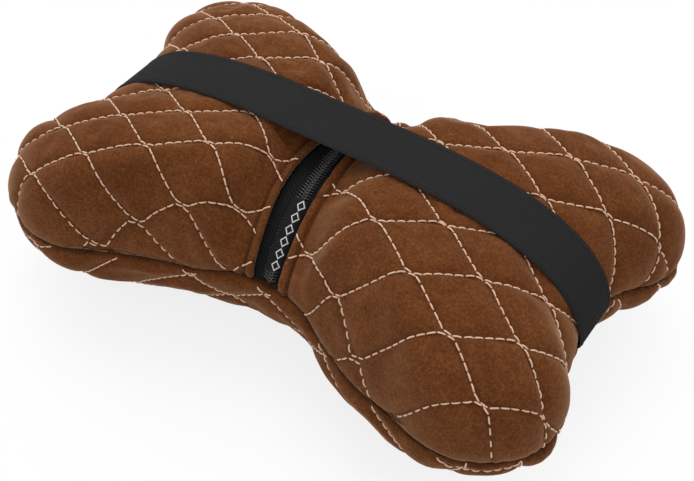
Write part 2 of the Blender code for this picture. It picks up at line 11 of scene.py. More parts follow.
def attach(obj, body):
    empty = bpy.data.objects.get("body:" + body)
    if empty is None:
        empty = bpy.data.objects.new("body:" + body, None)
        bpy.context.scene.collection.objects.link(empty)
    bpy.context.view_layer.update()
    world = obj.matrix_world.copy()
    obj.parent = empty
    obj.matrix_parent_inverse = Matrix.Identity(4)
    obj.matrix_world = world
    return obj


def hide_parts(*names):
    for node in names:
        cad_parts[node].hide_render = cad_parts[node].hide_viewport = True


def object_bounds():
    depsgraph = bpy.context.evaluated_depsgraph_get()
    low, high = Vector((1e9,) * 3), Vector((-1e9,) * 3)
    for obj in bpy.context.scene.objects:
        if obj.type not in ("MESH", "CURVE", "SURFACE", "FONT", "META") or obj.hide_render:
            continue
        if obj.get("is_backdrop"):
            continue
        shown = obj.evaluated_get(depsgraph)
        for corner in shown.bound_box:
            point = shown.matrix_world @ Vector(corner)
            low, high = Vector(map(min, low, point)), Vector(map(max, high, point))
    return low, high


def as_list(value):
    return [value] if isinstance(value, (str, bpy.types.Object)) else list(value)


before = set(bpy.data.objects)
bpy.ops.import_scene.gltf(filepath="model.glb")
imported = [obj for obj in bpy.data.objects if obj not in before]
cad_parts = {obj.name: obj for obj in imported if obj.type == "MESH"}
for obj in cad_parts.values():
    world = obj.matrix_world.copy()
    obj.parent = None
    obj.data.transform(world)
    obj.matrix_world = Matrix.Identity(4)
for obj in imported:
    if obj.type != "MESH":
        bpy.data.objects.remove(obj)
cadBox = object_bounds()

# a bone-shaped neck pillow: quilted suede over a stuffed bag, with a zip and an elastic headrest strap
mm = 0.001
strapSide, neckSide = 1, -1

pillow = {  # the stuffed body, in the same sizes as the solids
    "length": 280 * mm, "width": 174 * mm, "waist": 117 * mm, "notchLength": 252 * mm, "lobeRadius": 33 * mm,
    "crownHeight": 94.5 * mm, "valleyHeight": 86 * mm, "seamHeight": 46 * mm, "bellyHeight": 2.8 * mm,
    "valleyFloor": 11.5 * mm, "valleySide": 22 * mm,
    "crownFullness": (3.3, 2.2), "bellyFullness": (3.6, 2.0),  # in plan and in height: 2 is a plain ellipse
}
zipRise = pillow["valleyHeight"] - pillow["seamHeight"]
zipRadius = (zipRise**2 + (pillow["waist"] / 2) ** 2) / (2 * zipRise)
zipCentre = pillow["valleyHeight"] - zipRadius
zipHalf = zipRadius * math.asin(pillow["waist"] / 2 / zipRadius)


def smooth(value):  # 0 below 0, 1 above 1
    held = np.clip(value, 0, 1)
    return held * held * (3 - 2 * held)


def softNoise(values, seed, waves=7):  # a smooth random line of about one wave to a unit
    random = np.random.default_rng(seed)
    total = np.zeros_like(values)
    for _ in range(waves):
        turn = 2 * math.pi * random.uniform(0.5, 1.4)
        total += random.uniform(0.5, 1) * np.sin(values * turn + random.uniform(0, 2 * math.pi))
    return total / math.sqrt(waves)


def rayToCircle(angle, centre, radius, far):
    along = centre[0] * np.cos(angle) + centre[1] * np.sin(angle)
    halfChord = np.sqrt(np.maximum(along**2 - centre[0] ** 2 - centre[1] ** 2 + radius**2, 0))
    return along + halfChord if far else along - halfChord


def hollowRadius(across, along, depth):
    lobe = pillow["lobeRadius"]
    return (across**2 + (depth - along) ** 2 - lobe**2) / (2 * (lobe - depth + along))


def outlineRadius(angle):  # four lobes joined by hollow arcs
    turned = np.arctan2(np.abs(np.sin(angle)), np.abs(np.cos(angle)))
    lobeRadius = pillow["lobeRadius"]
    lobe = np.array([pillow["length"] / 2 - lobeRadius, pillow["width"] / 2 - lobeRadius])
    waistRadius = hollowRadius(lobe[0], lobe[1], pillow["waist"] / 2)
    notchRadius = hollowRadius(lobe[1], lobe[0], pillow["notchLength"] / 2)
    waistCentre = np.array([0, pillow["waist"] / 2 + waistRadius])
    notchCentre = np.array([pillow["notchLength"] / 2 + notchRadius, 0])
    waistTouch = lobe + (waistCentre - lobe) * lobeRadius / (lobeRadius + waistRadius)
    notchTouch = lobe + (notchCentre - lobe) * lobeRadius / (lobeRadius + notchRadius)
    radius = rayToCircle(turned, lobe, lobeRadius, True)
    inWaist = turned > math.atan2(waistTouch[1], waistTouch[0])
    inNotch = turned < math.atan2(notchTouch[1], notchTouch[0])
    radius = np.where(inWaist, rayToCircle(turned, waistCentre, waistRadius, False), radius)
    return np.where(inNotch, rayToCircle(turned, notchCentre, notchRadius, False), radius)


def fullness(side):
    return pillow["crownFullness"] if side == strapSide else pillow["bellyFullness"]


def bodyPoint(angle, turn, side):  # turn is 0 in the middle of a side and 1 at the seam
    plan, height = fullness(side)
    out = np.sin(turn * math.pi / 2) ** (2 / plan)
    up = np.cos(np.clip(turn, 0, 1) * math.pi / 2) ** (2 / height)
    radius = outlineRadius(angle) * out
    x, y = radius * np.cos(angle), radius * np.sin(angle)
    seam = pillow["seamHeight"]
    if side == strapSide:
        arc = np.sqrt(np.maximum(zipRadius**2 - (out * pillow["waist"] / 2) ** 2, 0)) - zipRadius + zipRise
        bar = smooth((np.abs(x) - pillow["valleyFloor"]) / pillow["valleySide"])
        z = seam + bar * up * (pillow["crownHeight"] - seam) + (1 - bar) * arc
    else:
        z = seam - up * (seam - pillow["bellyHeight"])
    return np.stack(np.broadcast_arrays(x, y, z), axis=-1)


def meridians(angle, side, steps=60):  # cloth used up along a line from the middle to the seam
    turns = np.linspace(0, 1, steps + 1) ** (fullness(side)[0] / 2)
    points = bodyPoint(np.asarray(angle)[..., None], turns, side)
    lengths = np.linalg.norm(np.diff(points, axis=-2), axis=-1)
    used = np.concatenate([np.zeros(lengths.shape[:-1] + (1,)), np.cumsum(lengths, axis=-1)], axis=-1)
    return turns, used


def patternRadius(angle, side):
    return meridians(angle, side)[1][..., -1]


def drape(flat, side):  # flat cloth points laid on the body
    angle = np.arctan2(flat[:, 1], flat[:, 0])
    turns, used = meridians(angle, side)
    length = np.minimum(np.hypot(flat[:, 0], flat[:, 1]), used[:, -1] * (1 - 1e-9))
    after = np.clip((used <= length[:, None]).sum(axis=1), 1, len(turns) - 1)
    row = np.arange(len(flat))
    share = (length - used[row, after - 1]) / (used[row, after] - used[row, after - 1])
    turn = turns[after - 1] + share * (turns[after] - turns[after - 1])
    return bodyPoint(angle, turn, side)


def layFlat(plan, side):  # the flat cloth points that drape lays at these plan points
    angle = np.arctan2(plan[:, 1], plan[:, 0])
    out = np.minimum(np.hypot(plan[:, 0], plan[:, 1]) / outlineRadius(angle), 1)
    turn = np.arcsin(out ** (fullness(side)[0] / 2)) * 2 / math.pi
    turns, used = meridians(angle, side)
    length = np.array([np.interp(a, turns, line) for a, line in zip(turn, used)])
    return np.stack([length * np.cos(angle), length * np.sin(angle)], axis=1)


def drapeNormals(flat, side, step=0.4 * mm):
    along = drape(flat + (step, 0), side) - drape(flat - (step, 0), side)
    across = drape(flat + (0, step), side) - drape(flat - (0, step), side)
    normals = np.cross(along, across) * side
    return normals / np.linalg.norm(normals, axis=1)[:, None]


# camera at the photograph's angle
view = {"azimuth": 34.0, "elevation": 43.86, "target": (0, 0, 53 * mm), "distance": 0.59, "lens": 66.37,
        "shift": (0.0106, -0.0601)}


def makeCamera():
    azimuth, elevation = math.radians(view["azimuth"]), math.radians(view["elevation"])
    level = math.cos(elevation)
    back = Vector((math.sin(azimuth) * level, -math.cos(azimuth) * level, math.sin(elevation)))
    lens = bpy.data.cameras.new("camera")
    lens.sensor_width, lens.lens = 36, view["lens"]
    lens.shift_x, lens.shift_y = view["shift"]
    lens.clip_start, lens.clip_end = 0.05, 20
    camera = bpy.data.objects.new("camera", lens)
    camera.location = Vector(view["target"]) + back * view["distance"]
    camera.rotation_euler = back.to_track_quat("Z", "Y").to_euler()
    bpy.context.scene.collection.objects.link(camera)
    bpy.context.scene.camera = camera


makeCamera()

# the quilted cover. A lattice gives the crossings of its stitch lines on the flat cloth, in millimetres:
# the first one beside the zip, the step to the next along the pillow and the step across it
lattices = {
    "right": {"start": (16.4, 5.3), "along": (25.9, 0.0), "across": (-0.5, 14.4)},
    "left": {"start": (16.9, 2.0), "along": (23.9, -1.7), "across": (-1.2, 12.8)},
    "neck": {"start": (0.0, 0.0), "along": (25.0, 0.0), "across": (0.0, 13.3)},
}
quilt = {
    "facets": {"right": 12, "left": 12, "neck": 10},
    "puff": {"right": 2.0 * mm, "left": 2.0 * mm, "neck": 2.4 * mm},
    "puffFlatness": 2.2, "puffSteepness": 0.72, "rise": 0.35 * mm, "thickness": 1.3 * mm,
    "seamFade": 6 * mm, "slot": 14 * mm, "rimShare": 0.35, "mergeWithin": 0.02 * mm,
    "bandEdge": 11.3 * mm, "bandRise": 2.1 * mm, "bandMiddle": 0.45, "bandHalf": 0.55,
    "bandFade": 5 * mm, "bandGroove": 1.2 * mm, "bandGrooveWidth": 0.8 * mm, "heldPastBand": 1.5 * mm,
    "strapPress": 1.7 * mm, "strapHalf": 14 * mm, "strapFade": 4 * mm, "strapFree": 20 * mm,
    "growth": 0.012, "pressure": 5.0, "bending": 3.5, "cap": 2.0 * mm, "frames": 20,
}
panels = [
    # piece, node, side, lattice, seed
    ("coverRight", "back_panel_right", strapSide, "right", 3),
    ("coverLeft", "back_panel_left", strapSide, "left", 8),
    ("coverNeck", "front_panel", neckSide, "neck", 5),
]


def latticeMatrix(lattice):
    steps = lattices[lattice]
    return np.array([steps["along"], steps["across"]]).T * mm, np.array(steps["start"]) * mm


def diamondPlace(flat, lattice):  # two numbers that are whole on the two families of stitch lines
    matrix, start = latticeMatrix(lattice)
    column, row = np.linalg.inv(matrix) @ (flat - start).T
    return (column + row) / 2, (column - row) / 2


def flatPlace(one, other, lattice):
    matrix, start = latticeMatrix(lattice)
    return (matrix @ np.stack([np.ravel(one + other), np.ravel(one - other)])).T + start


def lineDistances(flat, lattice):  # from a cloth point to the nearest stitch line of each family
    inverse = np.linalg.inv(latticeMatrix(lattice)[0])
    steep = [np.linalg.norm(inverse[0] + inverse[1]) / 2, np.linalg.norm(inverse[0] - inverse[1]) / 2]
    return [np.abs(place - np.round(place)) / s for place, s in zip(diamondPlace(flat, lattice), steep)]


def puffHeight(flat, lattice):
    def arch(place):
        return (1 - np.abs(2 * (place % 1) - 1) ** quilt["puffFlatness"]) ** quilt["puffSteepness"]

    one, other = diamondPlace(flat, lattice)
    return quilt["puff"][lattice] * arch(one) * arch(other)


def edgeDistance(flat, side):
    return patternRadius(np.arctan2(flat[:, 1], flat[:, 0]), side) - np.hypot(flat[:, 0], flat[:, 1])


def clothRelief(flat, body, side, lattice):
    fade = smooth(edgeDistance(flat, side) / quilt["seamFade"])
    puffs = puffHeight(flat, lattice)
    if side == neckSide:
        return puffs * fade
    fromSlot = np.abs(body[:, 0]) - quilt["slot"] / 2
    band = np.clip(fromSlot / (quilt["bandEdge"] - quilt["slot"] / 2), 0, 1)
    fromTop = (band - quilt["bandMiddle"]) / quilt["bandHalf"]
    rolled = quilt["bandRise"] * np.sqrt(np.maximum(1 - fromTop**2, 0))
    puffs = puffs * smooth((np.abs(body[:, 0]) - quilt["bandEdge"]) / quilt["bandFade"])
    return (puffs + np.where(band < 1, rolled, 0)) * fade


def clothNet(side, lattice):  # quads along the stitch lines, cut to the pattern
    half = side == strapSide
    fine = quilt["facets"][lattice]
    angles = np.linspace(-math.pi / 2, math.pi / 2 if half else 3 * math.pi / 2, 181)
    reach = patternRadius(angles, side)
    rim = np.stack([reach * np.cos(angles), reach * np.sin(angles)], 1)
    places = np.concatenate(diamondPlace(rim, lattice))
    ticks = np.arange(fine * (math.floor(places.min()) - 2), fine * (math.ceil(places.max()) + 2) + 1) / fine
    one, other = np.meshgrid(ticks, ticks, indexing="ij")
    flat = flatPlace(one, other, lattice)
    neighbour = flatPlace(np.array([1 / fine]), np.array([0.0]), lattice)
    cell = np.linalg.norm(neighbour - latticeMatrix(lattice)[1])
    rimRoom = quilt["rimShare"] * cell  # a point nearer the rim than this goes to the rim
    body = drape(flat, side)
    beyondSlot = (body[:, 0] < quilt["slot"] / 2 + rimRoom) if half else np.zeros(len(flat), bool)
    beyondSeam = edgeDistance(flat, side) < rimRoom
    inside = ~(beyondSeam | beyondSlot)
    grid = np.arange(len(ticks) ** 2).reshape(len(ticks), -1)
    quads = np.stack([grid[:-1, :-1], grid[1:, :-1], grid[1:, 1:], grid[:-1, 1:]], -1).reshape(-1, 4)
    quads = quads[inside[quads].any(axis=1)]
    if half:
        quads = quads[:, ::-1]
        limit = math.pi / 2  # the angle at which the slot's edge meets the seam, found in a few rounds
        for _ in range(8):
            limit = math.acos(quilt["slot"] / 2 / float(outlineRadius(np.array(limit))))
        slotEnd = float(outlineRadius(np.array(limit))) * math.sin(limit)
        atSlot = np.where(beyondSlot)[0]
        target = np.clip(body[atSlot, 1], -slotEnd, slotEnd)
        flat[atSlot] = layFlat(np.stack([np.full(len(target), quilt["slot"] / 2), target], 1), side)
    atSeam = np.where(beyondSeam & ~beyondSlot)[0]
    angle = np.arctan2(flat[atSeam, 1], flat[atSeam, 0])
    flat[atSeam] = (np.stack([np.cos(angle), np.sin(angle)]) * patternRadius(angle, side)).T
    whole = [np.abs(place - np.round(place)).ravel() < 1e-6 for place in (one, other)]
    pinned = ~inside | whole[0] | whole[1]
    used, index = np.unique(quads, return_inverse=True)
    rounded = np.round(flat[used] / quilt["mergeWithin"]).astype(int)
    _, kept, merged = np.unique(rounded, axis=0, return_index=True, return_inverse=True)
    faces = []
    for quad in merged.ravel()[index.reshape(-1, 4)]:
        face = [int(v) for k, v in enumerate(quad) if v != quad[k - 1]]
        if len(face) > 2 and len(set(face)) == len(face):
            faces.append(face)
    return flat[used][kept], pinned[used][kept], faces


def meshPiece(name, points, faces):
    mesh = bpy.data.meshes.new(name)
    mesh.from_pydata([tuple(p) for p in points], [], faces)
    mesh.validate()
    piece = bpy.data.objects.new(name, mesh)
    bpy.context.scene.collection.objects.link(piece)
    return piece


def meshPoints(mesh):
    points = np.empty(len(mesh.vertices) * 3)
    mesh.vertices.foreach_get("co", points)
    return points.reshape(-1, 3)


def storeVectors(mesh, name, vectors):
    store = mesh.attributes.new(name, "FLOAT_VECTOR", "POINT")
    store.data.foreach_set("vector", np.asarray(vectors, dtype=float).ravel())


def storeValues(mesh, name, values):
    store = mesh.attributes.new(name, "FLOAT", "POINT")
    store.data.foreach_set("value", values)


def flatOf(mesh):
    flat = np.empty(len(mesh.vertices) * 3)
    mesh.attributes["flat"].data.foreach_get("vector", flat)
    return flat.reshape(-1, 3)[:, :2]


def vertexNormals(mesh):
    normals = np.empty(len(mesh.vertices) * 3)
    mesh.vertex_normals.foreach_get("vector", normals)
    return normals.reshape(-1, 3)


def smoothShade(piece):
    piece.data.polygons.foreach_set("use_smooth", [True] * len(piece.data.polygons))


def applyModifiers(piece):
    graph = bpy.context.evaluated_depsgraph_get()
    shaped = piece.evaluated_get(graph)
    mesh = bpy.data.meshes.new_from_object(shaped, preserve_all_data_layers=True, depsgraph=graph)
    piece.modifiers.clear()
    old, piece.data = piece.data, mesh
    bpy.data.meshes.remove(old)
    mesh.name = piece.name


def clothPiece(name, side, lattice):  # the cloth at its stitch lines, with its puffs begun
    flat, pinned, faces = clothNet(side, lattice)
    body, normals = drape(flat, side), drapeNormals(flat, side)
    points = body + normals * (clothRelief(flat, body, side, lattice) + quilt["rise"])[:, None]
    if side == strapSide:
        pinned |= body[:, 0] < quilt["bandEdge"] + quilt["heldPastBand"]
    if lattice == "left":
        points[:, 0] *= -1
        faces = [face[::-1] for face in faces]
    piece = meshPiece(name, points, faces)
    storeVectors(piece.data, "flat", np.column_stack([flat, np.zeros(len(flat))]))
    held = piece.vertex_groups.new(name="held")
    held.add([int(k) for k in np.where(pinned)[0]], 1.0, "REPLACE")
    return piece


def startCloth(piece):
    cloth = piece.modifiers.new("Cloth", "CLOTH")
    cloth.collision_settings.use_collision = False
    rules = cloth.settings
    rules.quality = 6
    rules.mass = 0.05
    rules.tension_stiffness = rules.compression_stiffness = 20
    rules.shear_stiffness = 12
    rules.bending_stiffness = quilt["bending"]
    rules.tension_damping = rules.compression_damping = rules.shear_damping = 10
    rules.air_damping = 2
    rules.vertex_group_mass = "held"
    rules.use_pressure = True
    rules.uniform_pressure_force = quilt["pressure"]
    rules.shrink_min = -quilt["growth"]
    rules.effector_weights.gravity = 0
    cloth.point_cache.frame_start, cloth.point_cache.frame_end = 1, quilt["frames"]


def puffOut(pieces):  # the cloth between the stitch lines grows and is blown out, as over its wadding
    starts = [meshPoints(piece.data) for piece in pieces]
    for piece in pieces:
        startCloth(piece)
    for number in range(1, quilt["frames"] + 1):
        bpy.context.scene.frame_set(number)
    for piece, start in zip(pieces, starts):
        applyModifiers(piece)
        moved = meshPoints(piece.data) - start
        size = np.linalg.norm(moved, axis=1)[:, None]
        moved *= np.minimum(1, quilt["cap"] / np.maximum(size, 1e-9))
        piece.data.vertices.foreach_set("co", (start + moved).ravel())
        print(piece.name, "largest move, mm", round(float(size.max()) / mm, 2))
    bpy.context.scene.frame_set(1)


gathers = {"groove": 0.4 * mm, "grooveWidth": 0.9 * mm, "pucker": 0.06 * mm, "puckerReach": 2.4 * mm,
           "seamGather": 0.35 * mm, "seamReach": 6 * mm, "seamPitch": 6.5 * mm, "seamTuck": 1.1 * mm,
           "seamTuckReach": 1.8 * mm, "seamGap": 0.1 * mm, "floorGap": 0.04 * mm, "slack": 0.2 * mm,
           "slackSize": 26 * mm, "stitchShade": 0.45}
# fuller and slacker places of the stuffing: middle, push and reach in millimetres
stuffing = [
    ((60, -70, 36), (-4, -8, -4), 30),
    ((126, -74, 30), (-1, 4, 4), 26),
    ((48, 48, 88), (0, -2, -3), 26),
    ((132, 68, 58), (4, 1, 0), 26),
    ((-53, 58, 81), (3, 4, 2), 18),
    ((-138, -52, 45), (-6, -3, -1), 26),
]
stuffingStart, stuffingFull = 12 * mm, 32 * mm  # nothing moves beside the zip
stuffingSeam = 20 * mm  # and the seam keeps its height
# how far the left folded edge stands open
zipOpening = {"push": 3.4 * mm, "middle": -26 * mm, "reach": 24 * mm, "fade": 22 * mm}
seamSag = {"drop": 8 * mm, "above": 22 * mm,
           "besideZip": (12 * mm, 42 * mm), "besideStrap": (16 * mm, 60 * mm)}


def seamDrop(body, height):  # the seam hangs lower round the lobes than at the zip's and the strap's ends
    (zipStart, zipFull), (strapStart, strapFull) = seamSag["besideZip"], seamSag["besideStrap"]
    seam = pillow["seamHeight"]
    around = smooth((np.abs(body[:, 0]) - zipStart) / (zipFull - zipStart))
    around *= smooth((np.abs(body[:, 1]) - strapStart) / (strapFull - strapStart))
    above = 1 - smooth((height - seam) / seamSag["above"])
    return seamSag["drop"] * around * np.where(height > seam, above, smooth(height / seam))


def sewnDetail(piece, side, lattice, seed):  # grooves at the stitch lines, puckers and gathers at the seam
    mesh = piece.data
    flat, points, normals = flatOf(mesh), meshPoints(mesh), vertexNormals(mesh)
    body, lift = drape(flat, side), drapeNormals(flat, side)
    if lattice == "left":
        body[:, 0] *= -1
        lift[:, 0] *= -1
    edge = np.maximum(edgeDistance(flat, side), 0)
    distances = lineDistances(flat, lattice)
    height = -gathers["groove"] * np.exp(-((np.min(distances, axis=0) / gathers["grooveWidth"]) ** 2))
    alongLine = np.hypot(flat[:, 0], flat[:, 1] * 2)
    for near, number in zip(distances, (1, 2)):
        ripple = np.cos(2 * math.pi * alongLine / stitches["pitch"] + 2 * number)
        height += gathers["pucker"] * ripple * np.exp(-near / gathers["puckerReach"])
    oneWay = (flat[:, 0] * 0.8 + flat[:, 1]) / gathers["slackSize"]
    otherWay = (flat[:, 0] - flat[:, 1]) / gathers["slackSize"]
    height += gathers["slack"] * softNoise(oneWay, seed + 40) * softNoise(otherWay, seed + 50)
    alongSeam = np.arctan2(flat[:, 1], flat[:, 0]) * np.hypot(flat[:, 0], flat[:, 1])
    fold = softNoise(alongSeam / gathers["seamPitch"], seed)
    height += gathers["seamGather"] * fold * np.exp(-edge / gathers["seamReach"])
    # painted shade: a darkening share along the stitch lines and the seam, in place of the shade that falls
    # into these creases
    paintedCreaseShade = np.exp(-((np.min(distances, axis=0) / gathers["grooveWidth"]) ** 2)) * gathers["stitchShade"]
    paintedCreaseShade = np.maximum(paintedCreaseShade, np.exp(-((edge / gathers["seamTuckReach"]) ** 2)))
    if side == strapSide:
        beside = (np.abs(body[:, 0]) - quilt["bandEdge"]) / quilt["bandGrooveWidth"]
        bandCrease = np.exp(-(beside**2))
        height -= quilt["bandGroove"] * bandCrease
        # the groove beside the band gets the same painted shade
        paintedCreaseShade = np.maximum(paintedCreaseShade, bandCrease)
    storeValues(mesh, "paintedCreaseShade", paintedCreaseShade)
    points = points + normals * height[:, None]
    if side == strapSide:  # the strap presses the puffs under it
        raised = ((points - body) * lift).sum(axis=1)
        besideStrap = smooth((np.abs(body[:, 1]) - quilt["strapHalf"]) / quilt["strapFade"])
        limit = quilt["strapPress"] + besideStrap * quilt["strapFree"]
        points -= lift * np.maximum(raised - limit, 0)[:, None]
    outward = np.stack([body[:, 0], body[:, 1], np.zeros(len(body))], 1)
    outward /= np.maximum(np.linalg.norm(outward, axis=1), 1e-6)[:, None]
    tuck = gathers["seamTuck"] * np.exp(-((edge / gathers["seamTuckReach"]) ** 2))
    points -= outward * tuck[:, None]
    unpushed = points[:, 2].copy()
    for middle, push, reach in stuffing:
        near = np.exp(-(((body - np.array(middle) * mm) / (reach * mm)) ** 2).sum(axis=1))
        near *= smooth((np.abs(body[:, 0]) - stuffingStart) / (stuffingFull - stuffingStart))
        points += near[:, None] * np.array(push) * mm
    points[:, 2] -= (points[:, 2] - unpushed) * np.exp(-((edge / stuffingSeam) ** 2))
    if side == strapSide:
        points[:, 2] = np.maximum(points[:, 2], pillow["seamHeight"] + gathers["seamGap"])
    else:
        points[:, 2] = np.clip(points[:, 2], gathers["floorGap"], pillow["seamHeight"] - gathers["seamGap"])
    points[:, 2] -= seamDrop(body, points[:, 2])
    if lattice == "left":
        beside = 1 - smooth((np.abs(body[:, 0]) - quilt["slot"] / 2) / zipOpening["fade"])
        near = np.exp(-(((body[:, 1] - zipOpening["middle"]) / zipOpening["reach"]) ** 2))
        points[:, 0] -= zipOpening["push"] * near * beside
    mesh.vertices.foreach_set("co", points.ravel())
    mesh.update()


# how the cloth turns in at its edges: steps away from the edge, in millimetres, inwards and down
seamAllowance = ((1.5, 0.3), (2.5, 0.6))
foldedEdge = ((-0.12, 0.4), (0.0, 0.7), (0.1, 0.8), (0.3, 0.6), (0.6, 0.4), (1.2, 0.1))
seamNear = 0.6 * mm  # an open edge nearer the seam than this is sewn in there, and the others are folded


def turnIn(bm, edges, steps, direction):
    for inward, down in steps:
        made = bmesh.ops.extrude_edge_only(bm, edges=edges)["geom"]
        rim = {g for g in made if isinstance(g, bmesh.types.BMVert)}
        for vert in rim:
            toMiddle, below = direction(vert.co)
            vert.co += toMiddle * inward * mm + below * down * mm
        edges = [g for g in made if isinstance(g, bmesh.types.BMEdge) and all(v in rim for v in g.verts)]


def finishEdges(piece, side):
    bm = bmesh.new()
    bm.from_mesh(piece.data)
    layer = bm.verts.layers.float_vector["flat"]
    rim = [edge for edge in bm.edges if edge.is_boundary]
    flats = np.array([v[layer][:2] for edge in rim for v in edge.verts])
    atSeam = (edgeDistance(flats, side).reshape(-1, 2) < seamNear).all(axis=1)

    def fromSeam(place):
        return Vector((-place.x, -place.y, 0)).normalized(), Vector((0, 0, side))

    def fromSlot(place):
        angle = math.atan2(place.y, place.z - zipCentre)
        return Vector((math.copysign(1, place.x), 0, 0)), -Vector((0, math.sin(angle), math.cos(angle)))

    turnIn(bm, [edge for edge, here in zip(rim, atSeam) if here], seamAllowance, fromSeam)
    if not atSeam.all():
        turnIn(bm, [edge for edge, here in zip(rim, atSeam) if not here], foldedEdge, fromSlot)
    bm.to_mesh(piece.data)
    bm.free()


# beige stitches in zigzag rows: each row swings from one crossing to the next
stitches = {"pitch": 4.2 * mm, "length": 3.45 * mm, "radius": 0.38 * mm, "dip": 0.65 * mm, "lift": 0.28 * mm,
            "turnLength": 0.115, "turnOffset": 0.45 * mm, "slotRoom": 8.2 * mm, "seamRoom": 2.235 * mm,
            "wander": 0.25 * mm, "uneven": 0.25 * mm, "columnStep": 0.02, "shortest": 0.4, "sides": 6}


class ClothMap:  # finds a flat cloth point on the finished cloth
    def __init__(self, piece):
        mesh = piece.data
        mesh.calc_loop_triangles()
        self.corners = [tuple(t.vertices) for t in mesh.loop_triangles]
        flat = flatOf(mesh)
        self.flat = [Vector((u, v, 0)) for u, v in flat]
        self.points = [Vector(p) for p in meshPoints(mesh)]
        self.normals = [Vector(n) for n in vertexNormals(mesh)]
        self.tree = BVHTree.FromPolygons(self.flat, self.corners)

    def find(self, u, v):
        place, _, index, _ = self.tree.ray_cast(Vector((u, v, 1)), Vector((0, 0, -1)))
        if place is None:
            return None
        a, b, c = self.corners[index]
        corners = (self.flat[a], self.flat[b], self.flat[c])
        point = barycentric_transform(place, *corners, self.points[a], self.points[b], self.points[c])
        normal = barycentric_transform(place, *corners, self.normals[a], self.normals[b], self.normals[c])
        return point, normal.normalized()


def stitchRows(side, lattice, seed):  # flat cloth paths of the zigzag rows
    random = np.random.default_rng(seed)
    columns = np.arange(-1.0 if side == strapSide else -8.0, 8.0, stitches["columnStep"])
    swing = np.abs(columns % 2 - 1)
    turn = stitches["turnLength"]
    swing = np.clip((swing - turn) / (1 - 2 * turn), 0, 1)
    for row in range(-10, 10):
        share = swing if row % 2 else 1 - swing
        flat = flatPlace((columns + row + share) / 2, (columns - row - share) / 2, lattice)
        flat[:, 1] += stitches["turnOffset"] * np.cos(math.pi * share)
        flat[:, 1] += stitches["wander"] * softNoise(columns + row, seed + row + 20)
        steps = np.linalg.norm(np.diff(drape(flat, side), axis=0), axis=1)
        length = np.concatenate([[0], np.cumsum(steps)])
        marks = np.arange(random.uniform(0, stitches["pitch"]), length[-1], stitches["pitch"])
        yield flat, length, marks


def stitchPlaces(cloth, side, lattice, seed):
    places, headings, lifts = [], [], []
    random = np.random.default_rng(seed + 100)
    reach = stitches["length"] / 2
    for flat, length, marks in stitchRows(side, lattice, seed):
        marks = marks + random.uniform(-1, 1, len(marks)) * stitches["uneven"]
        starts, ends = (np.stack([np.interp(marks + way * reach, length, flat[:, k]) for k in (0, 1)], 1)
                        for way in (-1, 1))
        middles = (starts + ends) / 2
        fits = edgeDistance(middles, side) > stitches["seamRoom"]
        if side == strapSide:
            fits &= drape(middles, side)[:, 0] > stitches["slotRoom"]
        for k in np.where(fits)[0]:
            found = [cloth.find(*starts[k]), cloth.find(*ends[k]), cloth.find(*middles[k])]
            if None in found:
                continue
            (start, _), (end, _), (centre, lift) = found
            heading = end - start
            if heading.length < stitches["shortest"] * stitches["length"]:
                continue
            places.append(centre + lift * stitches["lift"])
            headings.append(heading.normalized())
            lifts.append(lift)
    return places, headings, lifts


